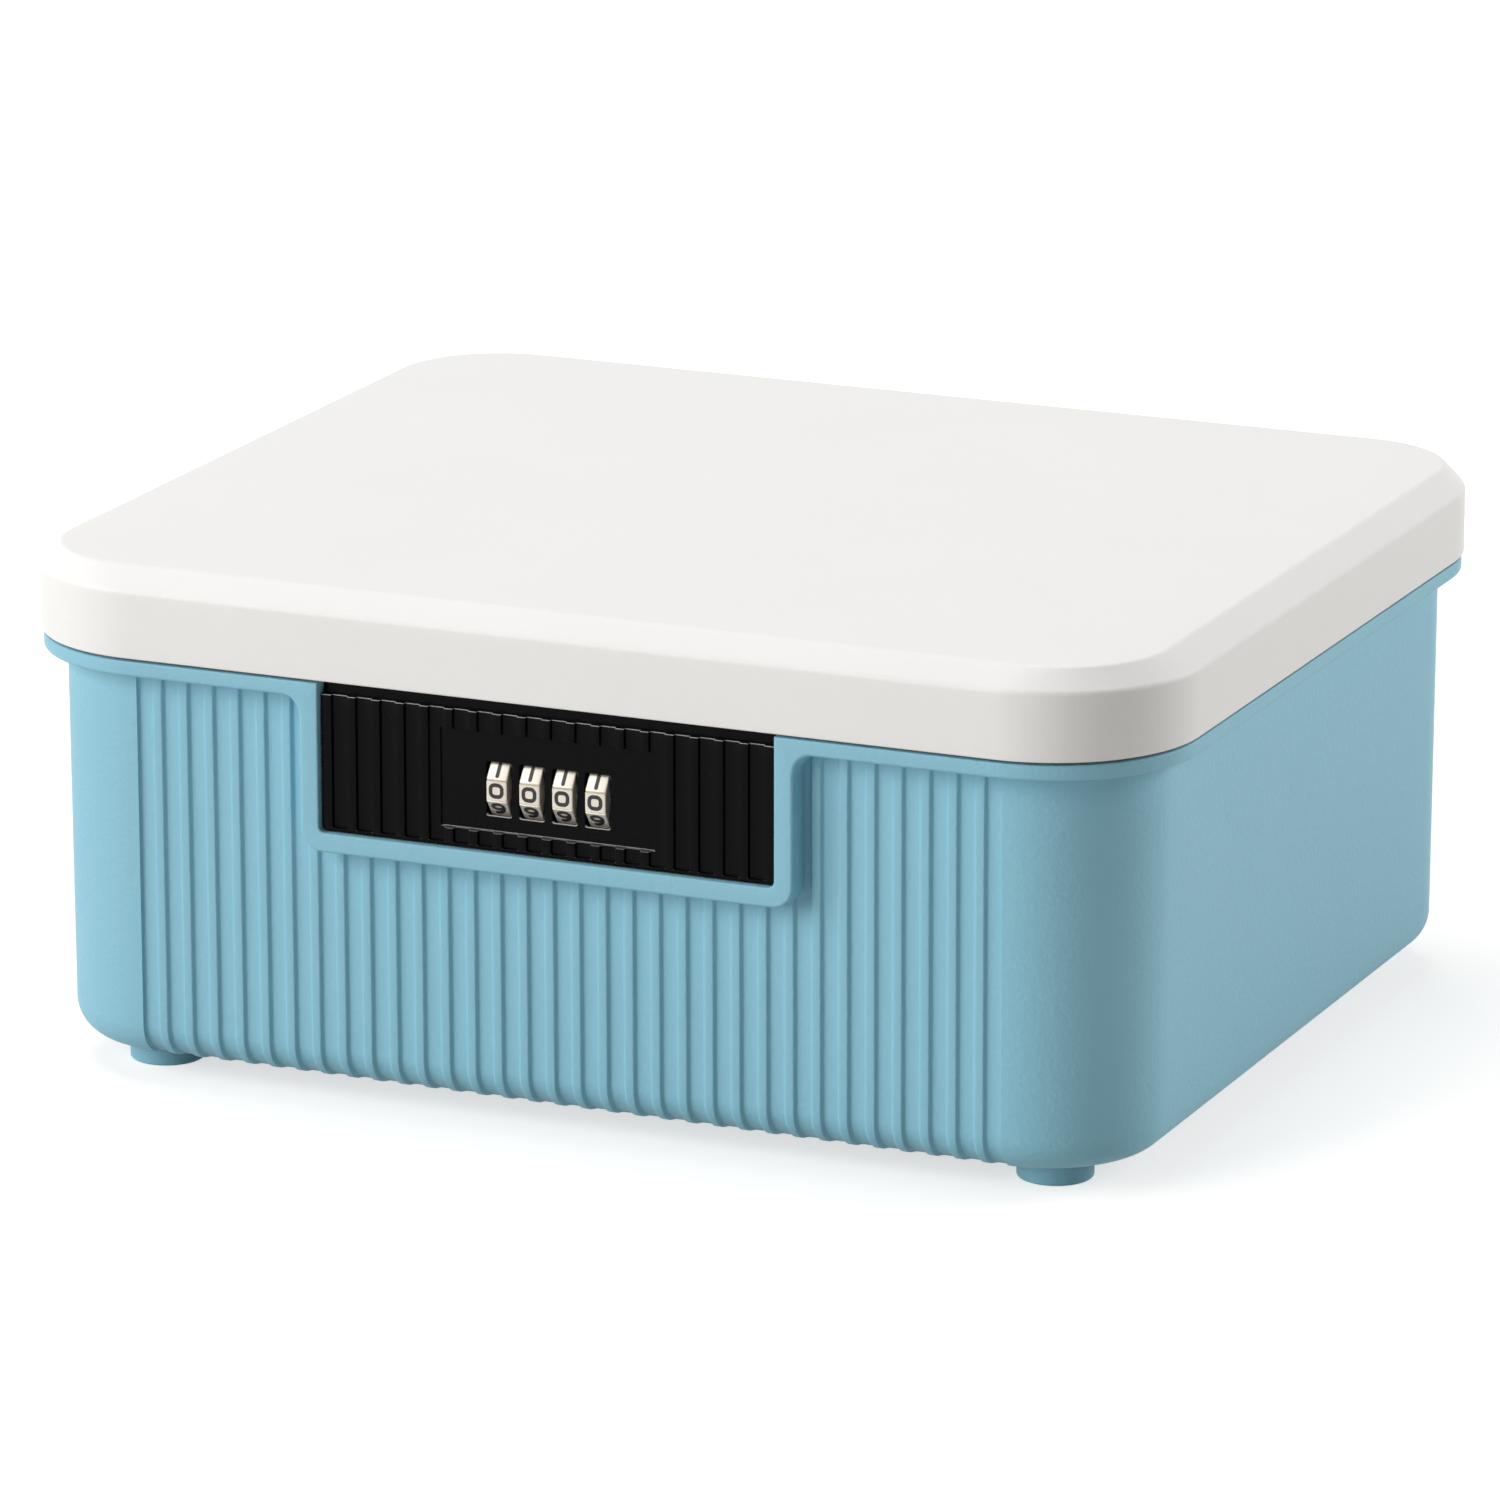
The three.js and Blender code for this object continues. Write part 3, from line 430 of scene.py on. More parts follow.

# %% [markdown]
# The plate's edges that turn upwards face the light from above, and they show as thin light
# lines on the ledge, along the pocket and under each window. That highlight is painted: the plate
# gets a greyer tone where a face leans back, and keeps its black where it stands upright or lies flat.

# %% Painted highlight on the plate's upturned edges
# The grey of the painted highlight: faces that lean up are lightened as if lit from above.
PAINTED_HIGHLIGHT_TONE = "#B0B0B1"
LEANS_FROM, LEANS_FULLY = 0.3, 0.6
FLAT_FROM, FLAT_FULLY = 0.88, 0.98
plate_tree = plate_finish.node_tree
plate_shader = plate_tree.nodes["Principled BSDF"]
facing = add_node(plate_tree, "ShaderNodeNewGeometry").outputs["Normal"]
height = add_node(plate_tree, "ShaderNodeSeparateXYZ", {"Vector": facing}).outputs["Z"]
leaning = add_node(plate_tree, "ShaderNodeMapRange", {
    "Value": height, "From Min": LEANS_FROM, "From Max": LEANS_FULLY})
not_flat = add_node(plate_tree, "ShaderNodeMapRange", {
    "Value": height, "From Min": FLAT_FULLY, "From Max": FLAT_FROM})
# Painted highlight mask: up-leaning faces that are not flat get the grey tone.
painted_highlight = add_node(plate_tree, "ShaderNodeMath", {
    0: leaning.outputs["Result"], 1: not_flat.outputs["Result"]}, operation="MULTIPLY")
greyed = add_node(plate_tree, "ShaderNodeMix", {
    "Factor": painted_highlight.outputs[0], "A": plate_shader.inputs["Base Color"].links[0].from_socket,
    "B": linear(PAINTED_HIGHLIGHT_TONE)}, data_type="RGBA")
fill(plate_tree, plate_shader, {"Base Color": greyed.outputs["Result"]})

# %% [markdown]
# ## The tub
#
# The real tub is one moulding: a wall that leans in a little, a rounded foot, a rim that hangs
# over the wall like a gutter, and 33 shallow flutes down the front. It could be a subdivided
# box, but then the flutes would have to be modelled by hand. Here the wall is a profile carried
# round the outline, and the flutes are a depth added to the front run of each ring.

# %% The tub's profile
RIM_INSET = 0.6
RIM_PROUD = 5.8
RIM_FACE = 2.5
RIM_UNDER = 2.4
PARTING_GAP = 0.8
EDGE_ROUND = 0.35
WALL_TAPER = 0.6
WALL_THICKNESS = 3.0
BOTTOM_FILLET = 9.0
CAVITY_FILLET = 6.0
FLOOR_THICKNESS = 3.0
WALL_INSET = RIM_INSET + RIM_PROUD
RIM_TOP = -PARTING_GAP
RIM_FACE_END = RIM_TOP - RIM_FACE
RIM_BOTTOM = RIM_FACE_END - RIM_UNDER
TUB_BOTTOM = -TUB_HEIGHT
OVERRUN = 1.0


def wall_inset(z):
    """The wall leans in evenly from under the rim down to the floor."""
    return WALL_INSET + WALL_TAPER * (RIM_BOTTOM - z) / (RIM_BOTTOM - TUB_BOTTOM)


def fillet_profile(radius, base_inset, bottom, steps):
    """Quarter circle from the floor up to the wall: angles a from 90 to 0 degrees."""
    angle = np.radians(np.linspace(90, 0, steps + 1))
    z = bottom + radius * (1 - np.sin(angle))
    return np.stack([wall_inset(z) + base_inset + radius * (1 - np.cos(angle)), z], -1), angle


# %% [markdown]
# ### Flutes
#
# A flute is a flat-bottomed groove with sides that are a little soft, because a mould insert
# always has a small radius. The depth eases in over a millimetre, so the left shoulder of each
# rib turns towards the light and shows as a bright line. Points are crowded at those edges only,
# over a reach of a little more than half the ease to each side. Under the tub the flutes fade out
# over the last 0.35 radians of the fillet's turn.

# %% Flutes down the front
FLUTE_COUNT = 33
FLUTE_PITCH = 6.93
FLUTE_WIDTH = 4.2
FLUTE_DEPTH = 1.0
FLUTE_EDGE = 1.0
FLUTE_REACH = 0.52
FLUTE_FADE = 0.35
flute_centres = (np.arange(FLUTE_COUNT) - (FLUTE_COUNT - 1) / 2) * FLUTE_PITCH


def smooth_step(t):
    """3t^2 - 2t^3, held at 0 and 1 outside the unit range."""
    t = np.clip(t, 0, 1)
    return t * t * (3 - 2 * t)


def within(away, half, ease):
    """1 where nearer than half, 0 where farther, eased across that line."""
    return smooth_step((half - away) / ease + 0.5)


def flute_depth(x):
    """Full depth within half a groove of a groove's centre, eased to none over the edge."""
    return FLUTE_DEPTH * within(np.abs(x[:, None] - flute_centres).min(1), FLUTE_WIDTH / 2, FLUTE_EDGE)


edge_places = FLUTE_WIDTH / 2 + FLUTE_EDGE * np.linspace(-FLUTE_REACH, FLUTE_REACH, 11)
flute_template = np.concatenate([-edge_places[::-1], [0.0], edge_places])
straight_half = HALF_WIDTH - CORNER_RADIUS
front_x = (flute_centres[:, None] + flute_template).ravel()
front_x = np.concatenate([[-straight_half], front_x[np.abs(front_x) < straight_half], [straight_half]])
front_count = len(front_x) - 2
print("points across the front:", front_count)

# %% [markdown]
# ### The tub's skin
#
# The rings run from the flat floor round the fillet, up the wall, out under the rim, round its
# lower edge and over its face. On the fillet the groove depth turns with the surface, so that
# the flutes wrap under the tub as they do on the real one. The rim's flat is drawn 2.9 mm high,
# a little more than the 2.5 mm of the CAD's face, because it reads so in the photo.

# %% The rim's lower edge
RIM_FLAT = 2.9
RIM_EDGE = 0.9
RIM_HEIGHT = RIM_TOP - RIM_BOTTOM
WALL_STOP = RIM_BOTTOM - 0.3


def outer_section(flat):
    """A flat face, a quarter round, and a straight run back to the wall.

    Gives distances from the full height, minus where short of it, and depths behind the face.
    """
    turn = np.radians(np.linspace(0, 90, 13))
    off = np.append(flat - RIM_HEIGHT + RIM_EDGE * np.sin(turn), 0.0)
    return off, np.append(RIM_EDGE * (1 - np.cos(turn)), RIM_PROUD)


# %% The outer skin
foot_levels, foot_angle = fillet_profile(BOTTOM_FILLET, 0.0, TUB_BOTTOM, 16)
wall_z = np.linspace(foot_levels[-1, 1], WALL_STOP, 12)[1:]
wall_levels = np.stack([wall_inset(wall_z), wall_z], -1)
rim_off, rim_y = outer_section(RIM_FLAT)
under_levels = np.stack([RIM_INSET + rim_y, RIM_BOTTOM - rim_off], -1)[::-1]
lip_levels = arc((RIM_INSET + EDGE_ROUND, RIM_TOP - EDGE_ROUND), EDGE_ROUND, 180, 90, 5)
tub_levels = np.concatenate([foot_levels, wall_levels, under_levels, lip_levels])

rings = np.array([box_ring(inset, z, front_x) for inset, z in tub_levels])
level_turn = np.concatenate([foot_angle, np.zeros(len(wall_levels))])
level_share = smooth_step((np.pi / 2 - level_turn) / FLUTE_FADE)
depth = level_share[:, None] * flute_depth(front_x[1:-1])
fluted = len(level_turn)
rings[:fluted, :front_count, 1] += depth * np.cos(level_turn)[:, None]
rings[:fluted, :front_count, 2] += depth * np.sin(level_turn)[:, None]
tub = skin("tub", rings)

# %% [markdown]
# ### The raised frame round the lock
#
# The frame leaves the rim in a hollow curve and runs down round the lock opening, with a wider
# flat face than the rim's. It is made as one section carried along the U. Along the curve the
# section changes evenly from the rim's to the frame's, and its inner end stays on the opening.

# %% The frame as a section carried along a U
LOCK_X = -2.0
NOTCH_WIDTH = 119.0
NOTCH_HEIGHT = 37.8
NOTCH_CORNER = 1.6
FRAME_WIDTH = 4.9
FRAME_CORNER = 5.5
FRAME_FLARE = 4.5
FRAME_INNER_ROUND = 0.5
FRAME_FACE_Y = FRONT_Y + RIM_INSET
WALL_FACE_Y = FRONT_Y + WALL_INSET
FRAME_ROOT = 1.6
FRAME_BACK_Y = WALL_FACE_Y + FRAME_ROOT

half_notch = NOTCH_WIDTH / 2
half_frame = half_notch + FRAME_WIDTH
flare_centre = np.array([half_frame + FRAME_FLARE, RIM_BOTTOM - FRAME_FLARE])
flare_outer = arc(flare_centre, FRAME_FLARE, 90, 180, 16)
flare_way = arc((0, 0), 1, 90, 180, 16)
reach = (RIM_TOP - flare_centre[1]) / np.maximum(flare_way[:, 1], -flare_way[:, 0])
flare_inner = flare_centre + reach[:, None] * flare_way
corner_outer = arc((half_frame - FRAME_CORNER, -NOTCH_HEIGHT - FRAME_WIDTH + FRAME_CORNER),
                   FRAME_CORNER, 0, -90, 12)
corner_inner = arc((half_notch - NOTCH_CORNER, -NOTCH_HEIGHT + NOTCH_CORNER), NOTCH_CORNER, 0, -90, 12)
right_outer = np.concatenate([flare_outer, corner_outer])
right_inner = np.concatenate([flare_inner, corner_inner])
mirror = np.array([-1.0, 1.0])
path_outer = np.concatenate([right_outer, (right_outer * mirror)[::-1]]) + [LOCK_X, 0]
path_inner = np.concatenate([right_inner, (right_inner * mirror)[::-1]]) + [LOCK_X, 0]

inner_turn = np.radians(np.linspace(0, 90, 6))
frame_off, _ = outer_section(FRAME_WIDTH - RIM_EDGE)
inner_off = np.concatenate([[0.0], FRAME_INNER_ROUND * (1 - np.cos(inner_turn))])
section_end = np.concatenate([np.zeros(len(inner_off)), np.ones(len(rim_off) + 1)])
curve_share = np.concatenate([smooth_step(np.linspace(0, 1, len(flare_outer))), np.ones(len(corner_outer))])
curve_share = np.concatenate([curve_share, curve_share[::-1]])[:, None]
section_off = np.concatenate([np.broadcast_to(inner_off, (len(path_outer), len(inner_off))),
                              rim_off + curve_share * (frame_off - rim_off),
                              np.zeros((len(path_outer), 1))], 1)
section_y = np.concatenate([[FRAME_BACK_Y], FRAME_FACE_Y + FRAME_INNER_ROUND * (1 - np.sin(inner_turn)),
                            FRAME_FACE_Y + rim_y, [FRAME_BACK_Y]])
direction = path_outer - path_inner
direction /= np.linalg.norm(direction, axis=1, keepdims=True)
flat = (path_inner[:, None] * (1 - section_end[:, None]) + path_outer[:, None] * section_end[:, None]
        + direction[:, None] * section_off[..., None])
frame_rings = np.stack([flat[..., 0], np.broadcast_to(section_y, flat.shape[:2]), flat[..., 1]], -1)
frame_piece = skin("frame_tool", frame_rings)
print("frame sections:", len(frame_rings))

# %% [markdown]
# ### Hinge barrels and the openings of the tub
#
# The tub carries two outer barrels of each hinge on webs that grow out of the rear rim. They
# are outlines pushed along X. The inside, the lock opening, the screw holes and the pin bores
# are then cut, in the order in which the real mould's cores would form them.

# %% Tools for the tub
HINGE_SPACING = 170.0
HINGE_LENGTH = 44.0
HINGE_STANDOFF = 0.6
HINGE_DROP = 0.4
KNUCKLE_RADIUS = 4.4
KNUCKLE_END = 12.0
KNUCKLE_GAP = 0.5
HINGE_WEB = 9.0
CLEARANCE = 0.3
PIN_RADIUS = 2.0
SEAL_WIDTH = 2.8
SEAL_STEP = 1.5
INNER_INSET = WALL_INSET + WALL_THICKNESS
SEAL_INSET = INNER_INSET - SEAL_WIDTH - 2 * CLEARANCE
SEAL_STEP_Z = RIM_TOP - SEAL_STEP

hinge_y = HALF_DEPTH + HINGE_STANDOFF + KNUCKLE_RADIUS
hinge_z = -HINGE_DROP
hinge_starts = [side * HINGE_SPACING / 2 - HINGE_LENGTH / 2 for side in (-1, 1)]
rear_wall_y = HALF_DEPTH - WALL_INSET
barrel = arc((hinge_y, hinge_z), KNUCKLE_RADIUS, -60, 180, 40)
knuckle = np.concatenate([[(rear_wall_y, hinge_z - HINGE_WEB)], barrel,
                          [(hinge_y - KNUCKLE_RADIUS, RIM_TOP), (rear_wall_y, RIM_TOP)]])
tub_knuckles = gathered("knuckle_tool", [
    prism("knuckle", knuckle, 0, place, place + KNUCKLE_END)
    for start in hinge_starts for place in (start, start + HINGE_LENGTH - KNUCKLE_END)])

cavity_levels, _ = fillet_profile(CAVITY_FILLET, WALL_THICKNESS, TUB_BOTTOM + FLOOR_THICKNESS, 12)
cavity_levels = np.concatenate([cavity_levels, [
    (INNER_INSET, RIM_BOTTOM), (INNER_INSET, SEAL_STEP_Z), (SEAL_INSET, SEAL_STEP_Z), (SEAL_INSET, OVERRUN)]])
plain_x = np.linspace(-straight_half, straight_half, 49)


def plain_rings(levels, corner=None):
    """A ring without flutes at each (inset, height); corner gives the radius for an inset."""
    return [box_ring(inset, z, plain_x, corner(inset) if corner else None) for inset, z in levels]


cavity = skin("cavity_tool", plain_rings(cavity_levels))

# %% [markdown]
# The lock opening is cut a little wider than the plate needs before the frame is joined on, so
# that the frame's own rounded inner edge is the one that shows.

# %% Tools for the lock opening
PANEL_RECESS = 1.5
POCKET_DEPTH = 1.3
PLATE_THICKNESS = 2.6
NOTCH_MARGIN = 2.0
DIAL_COUNT = 4
DIAL_PITCH = 8.6
DIAL_WIDTH = 5.4
DIAL_FLATS = 16.0
DIAL_FACETS = 10
DIAL_DROP = 22.5
DIAL_PROUD = 1.5
BOSS_RADIUS = 3.4
BOSS_SPACING_X = 64.0
BOSS_SPACING_Z = 15.0
PANEL_FACE_Y = FRAME_FACE_Y + PANEL_RECESS
POCKET_FLOOR_Y = PANEL_FACE_Y + POCKET_DEPTH
PLATE_BACK_Y = POCKET_FLOOR_Y + PLATE_THICKNESS
LEDGE_Y = PLATE_BACK_Y + CLEARANCE
dial_x = LOCK_X + (np.arange(DIAL_COUNT) - (DIAL_COUNT - 1) / 2) * DIAL_PITCH
dial_y = POCKET_FLOOR_Y - DIAL_PROUD + DIAL_FLATS / 2
dial_z = -DIAL_DROP
case_low, _ = from_origin(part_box("lock_case"))
spindle_low, spindle_high = from_origin(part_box("dial_spindle"))


def u_outline(margin, corner, top):
    """The lock opening's U grown by a margin, as (x, z) points from top left to top right."""
    half = half_notch + margin
    low = -NOTCH_HEIGHT - margin
    left = arc((LOCK_X - half + corner, low + corner), corner, 180, 270, 8)
    right = arc((LOCK_X + half - corner, low + corner), corner, 270, 360, 8)
    return np.concatenate([[(LOCK_X - half, top)], left, right, [(LOCK_X + half, top)]])


notch = prism("notch_tool", u_outline(NOTCH_MARGIN, NOTCH_CORNER + NOTCH_MARGIN, OVERRUN), 1,
              FRONT_Y - OVERRUN, LEDGE_Y)
case_room = block("case_tool",
                  (spindle_low[0] - CLEARANCE, FRAME_FACE_Y, case_low[2] - CLEARANCE),
                  (spindle_high[0] + CLEARANCE, FRONT_Y + INNER_INSET + OVERRUN, OVERRUN))
boss_places = [(LOCK_X + sx * BOSS_SPACING_X / 2, dial_z + sz * BOSS_SPACING_Z / 2)
               for sx in (-1, 1) for sz in (-1, 1)]
FOOT_STEM = 3.0
FEET = ("front_left", "front_right", "rear_left", "rear_right")
foot_places = [from_origin(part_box("foot_" + where)).mean(0)[:2] for where in FEET]
holes = [rod(place, BOSS_RADIUS + CLEARANCE, 1, PLATE_BACK_Y, FRONT_Y + INNER_INSET + OVERRUN)
         for place in boss_places]
holes += [rod(place, FOOT_STEM + CLEARANCE, 2, TUB_BOTTOM - OVERRUN, TUB_BOTTOM + FLOOR_THICKNESS + OVERRUN)
          for place in foot_places]
holes += [rod((hinge_y, hinge_z), PIN_RADIUS + CLEARANCE, 0, start - OVERRUN, start + HINGE_LENGTH + OVERRUN)
          for start in hinge_starts]
hole_tool = gathered("hole_tool", holes)

tub = worked(tub, [("DIFFERENCE", notch), ("UNION", frame_piece), ("UNION", tub_knuckles),
                   ("DIFFERENCE", cavity), ("DIFFERENCE", case_room), ("DIFFERENCE", hole_tool)])
finish_piece(tub, "box", ["base_tub"], tub_finish)

# %% [markdown]
# ## The feet
#
# Four push-in feet of the same plastic carry the box. Each is turned: a disc with a rounded
# lower edge, a stem through the floor and a barb that holds it.

# %% Four feet
FOOT_RADIUS = 9.3
FOOT_HEIGHT = 6.0
FOOT_ROUND = 0.8
FOOT_BARB = 3.8
BARB_HEIGHT = 1.4
FOOT_TOP = FOOT_HEIGHT - CLEARANCE
BARB_Z = FOOT_HEIGHT + FLOOR_THICKNESS + CLEARANCE
foot_profile = np.concatenate([
    arc((FOOT_RADIUS - FOOT_ROUND, FOOT_ROUND), FOOT_ROUND, -90, 0, 8),
    arc((FOOT_RADIUS - EDGE_ROUND, FOOT_TOP - EDGE_ROUND), EDGE_ROUND, 0, 90, 4),
    [(FOOT_STEM, FOOT_TOP), (FOOT_STEM, BARB_Z), (FOOT_BARB, BARB_Z), (FOOT_STEM, BARB_Z + BARB_HEIGHT)]])
for where, place in zip(FEET, foot_places):
    foot = turned("foot_piece_" + where, foot_profile, 2, (*place, TUB_BOTTOM - FOOT_HEIGHT))
    finish_piece(foot, "box", ["foot_" + where], tub_finish)

# %% [markdown]
# ## The seal
#
# A strip of rubber lies in a step round the top of the tub. Its top is domed, so that the lid
# squeezes a line and not a flat. It is one closed section carried round the rim.

# %% The seal strip
SEAL_OUTER = INNER_INSET - SEAL_WIDTH - CLEARANCE
SEAL_TOP = -CLEARANCE
SEAL_DOME = 0.9
seal_middle = SEAL_OUTER + SEAL_WIDTH / 2
seal_section = np.concatenate([
    [(SEAL_OUTER, SEAL_STEP_Z), (SEAL_OUTER + SEAL_WIDTH, SEAL_STEP_Z)],
    arc((seal_middle, SEAL_TOP - SEAL_DOME), (SEAL_WIDTH / 2, SEAL_DOME), 0, 180, 14)])
seal = loop_skin("seal_strip", plain_rings(seal_section))
finish_piece(seal, "box", ["rim_seal"], seal_finish)

# %% [markdown]
# ## The lid
#
# The lid is a shallow moulding with a straight skirt, a wide bevel and a slightly crowned top.
# Its corners tighten from 37 mm at the skirt to 27 mm at the top, which a plain bevel tool
# can't do. So each ring has its own corner radius, and the profile's corners are softened
# by arcs that catch the thin bright lines seen on the real lid.

# %% The lid's outer skin
LID_SIDE = 16.8
LID_ROUND_END = 1.0
BEVEL_WIDTH = 5.4
LID_TOP = 21.9
LID_CROWN = 1.0
LID_TOP_CORNER = 27.0
LID_CROWN_RUN = 60.0
LID_WALL = 2.5
LID_BOTTOM_ROUND = 0.5
SHOULDER_ROUND = 2.2
BEVEL_TOP_ROUND = 2.6
LID_EDGE_RUN = 4.0
LID_ARC_STEPS = 8
LEAST_LID_CORNER = (CORNER_RADIUS - LID_ROUND_END - LID_TOP_CORNER) / BEVEL_WIDTH * 4
bevel_end = LID_ROUND_END + BEVEL_WIDTH
crown_start, crown_end = LID_CROWN_RUN / 3, LID_CROWN_RUN * 2


def lid_corner(inset):
    """Corner radius along the profile: the skirt's, the top's, then a least one on the crown."""
    radius = np.interp(inset, [0, LID_ROUND_END, bevel_end],
                       [CORNER_RADIUS, CORNER_RADIUS - LID_ROUND_END, LID_TOP_CORNER])
    return max(radius - max(inset - bevel_end, 0), LEAST_LID_CORNER)


lid_levels = softened([(LID_EDGE_RUN, 0.0), (0.0, 0.0), (0.0, LID_SIDE), (bevel_end, LID_TOP),
                       (crown_start, LID_TOP + LID_CROWN / 3)],
                      [LID_BOTTOM_ROUND, SHOULDER_ROUND, BEVEL_TOP_ROUND], steps=LID_ARC_STEPS)
below, above = np.split(lid_levels, [LID_ARC_STEPS + 2])
skirt_start, skirt_end = below[-1], above[0]
skirt = skirt_start + (skirt_end - skirt_start) * np.linspace(0, 1, 5)[1:-1, None]
crown_inset = np.linspace(crown_start, crown_end, 10)[1:]
crown_share = (crown_inset - crown_start) / (crown_end - crown_start)
crown = np.stack([crown_inset, LID_TOP + LID_CROWN * (1 / 3 + 2 / 3 * np.sin(crown_share * np.pi / 2))], -1)
lid_levels = np.concatenate([below, skirt, above, crown])
lid = skin("lid", plain_rings(lid_levels, lid_corner))

# %% [markdown]
# ### Inside the lid, its hinge arms and stops
#
# The inside follows the outside at wall thickness. Six bosses take the screws, an arm and a
# barrel at each hinge hold the pin, and a tongue on the barrel stops the lid when it is open.

# %% The lid's tools
LID_BOTTOM_LIFT = 0.5
HINGE_ARM_HEIGHT = 8.0
LINER_THICKNESS = 2.2
LID_BOSS_RADIUS = 3.4
SCREW_HOLE_RADIUS = 1.4
SCREW_BITE = 7.0
SCREW_INSET = 42.0
STOP_WIDTH = 1.6
LID_OPEN_DEGREES = 105.0
LID_INNER_ROUND = 1.5

inside_top = LID_TOP - LID_WALL
inside_levels = softened([(LID_WALL, -OVERRUN), (LID_WALL, LID_SIDE), (bevel_end + LID_WALL / 2, inside_top),
                          (LID_CROWN_RUN, inside_top)], [LID_INNER_ROUND, LID_INNER_ROUND])
lid_inside = skin("inside_tool", plain_rings(inside_levels, lid_corner))

liner_screws = [(sx * (HALF_WIDTH - SCREW_INSET), sy * (HALF_DEPTH - SCREW_INSET))
                for sy in (-1, 1) for sx in (-1, 1)]
screw_places = liner_screws + [from_origin(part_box("comb_screw_%d" % k)).mean(0)[:2] for k in (1, 2)]
boss_low = LINER_THICKNESS + CLEARANCE
bosses = gathered("boss_tool", [rod(place, LID_BOSS_RADIUS, 2, boss_low, LID_TOP - LID_WALL / 2, steps=40)
                                for place in screw_places])

skirt_y = HALF_DEPTH - LID_WALL / 2
lid_barrel = arc((hinge_y, hinge_z), KNUCKLE_RADIUS, 180, 405, 44)
arm = np.concatenate([[(skirt_y, LID_BOTTOM_LIFT), (hinge_y - KNUCKLE_RADIUS, LID_BOTTOM_LIFT)],
                      lid_barrel, [(skirt_y, HINGE_ARM_HEIGHT)]])
lid_spans = [(start + KNUCKLE_END + KNUCKLE_GAP, start + HINGE_LENGTH - KNUCKLE_END - KNUCKLE_GAP)
             for start in hinge_starts]
lid_arms = gathered("arm_tool", [prism("arm", arm, 0, a, b) for a, b in lid_spans])

stop_reach = hinge_y - (HALF_DEPTH - RIM_INSET) - CLEARANCE
rim_drop = hinge_z - (RIM_TOP + RIM_FACE_END) / 2
stop_angle = math.pi + math.asin(rim_drop / stop_reach) + math.radians(LID_OPEN_DEGREES)
along = np.array([math.cos(stop_angle), math.sin(stop_angle)])
square = np.array([-along[1], along[0]])
tongue = np.array([(hinge_y, hinge_z) + along * r + square * s * STOP_WIDTH / 2
                   for r, s in ((0, -1), (stop_reach, -1), (stop_reach, 1), (0, 1))])
lid_stops = gathered("stop_tool", [prism("stop", tongue, 0, a, b) for a, b in lid_spans])

screw_holes = [rod(place, SCREW_HOLE_RADIUS, 2, boss_low - OVERRUN, LINER_THICKNESS + SCREW_BITE + OVERRUN,
                   steps=24) for place in screw_places]
screw_holes += [rod((hinge_y, hinge_z), PIN_RADIUS + CLEARANCE, 0, a - OVERRUN, b + OVERRUN)
                for a, b in lid_spans]
lid = worked(lid, [("DIFFERENCE", lid_inside), ("UNION", bosses), ("UNION", lid_arms), ("UNION", lid_stops),
                   ("DIFFERENCE", gathered("screw_hole_tool", screw_holes))])
finish_piece(lid, "lid", ["lid_shell"], lid_finish)

# %% [markdown]
# ## The liner
#
# The liner closes the lid from below and carries the lip that finds the tub's rim. It is a flat
# plate with a hoop on it, and the hoop is open at the front to let the steel comb through.

# %% The liner with its lip
LIP_HEIGHT = 3.4
LIP_WALL = 1.6
LIP_CLEARANCE = 0.6
LIP_ROUND = 0.4
LIP_ROUND_IN = 0.12
LINER_ROUND = 0.4
LINER_RUN = 12.0
liner_edge = LID_WALL + CLEARANCE
lip_inset = INNER_INSET + LIP_CLEARANCE
liner_levels = softened([(LINER_RUN, 0.0), (liner_edge, 0.0), (liner_edge, LINER_THICKNESS),
                         (LINER_RUN, LINER_THICKNESS)], [LINER_ROUND, LINER_ROUND], steps=4)
liner = skin("liner", plain_rings(liner_levels))
lip_levels = [(lip_inset + LIP_ROUND, -LIP_HEIGHT), (lip_inset + LIP_ROUND_IN, -LIP_HEIGHT + LIP_ROUND_IN),
              (lip_inset, -LIP_HEIGHT + LIP_ROUND), (lip_inset, LINER_THICKNESS / 2)]
lip = skin("lip_tool", plain_rings(lip_levels))
hollow_inset = lip_inset + LIP_WALL
lip_hollow = skin("hollow_tool", plain_rings([(hollow_inset, -LIP_HEIGHT - OVERRUN), (hollow_inset, 0.0)]))
comb_low, comb_high = from_origin(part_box("strike_comb"))
comb_room = block("comb_tool", (comb_low[0] - LIP_WALL, FRONT_Y, -LIP_HEIGHT - OVERRUN),
                  (comb_high[0] + LIP_WALL, comb_high[1], 0.0))
liner_holes = gathered("liner_hole_tool", [
    rod(place, SCREW_HOLE_RADIUS, 2, -OVERRUN, LINER_THICKNESS + OVERRUN, steps=24)
    for place in screw_places])
liner = worked(liner, [("UNION", lip), ("DIFFERENCE", lip_hollow), ("DIFFERENCE", comb_room),
                       ("DIFFERENCE", liner_holes)])
finish_piece(liner, "lid", ["lid_liner"], liner_finish)

# %% [markdown]
# ## The lock plate
#
# The black plate is one moulding: 18 narrow flutes, a sunk pocket for the dials, and above them
# a finger band that lies deeper. Its front is a height field, a depth for each x and z, carried
# as one profile along X. Lines are crowded at each edge, so a step is crisp without a dense grid.

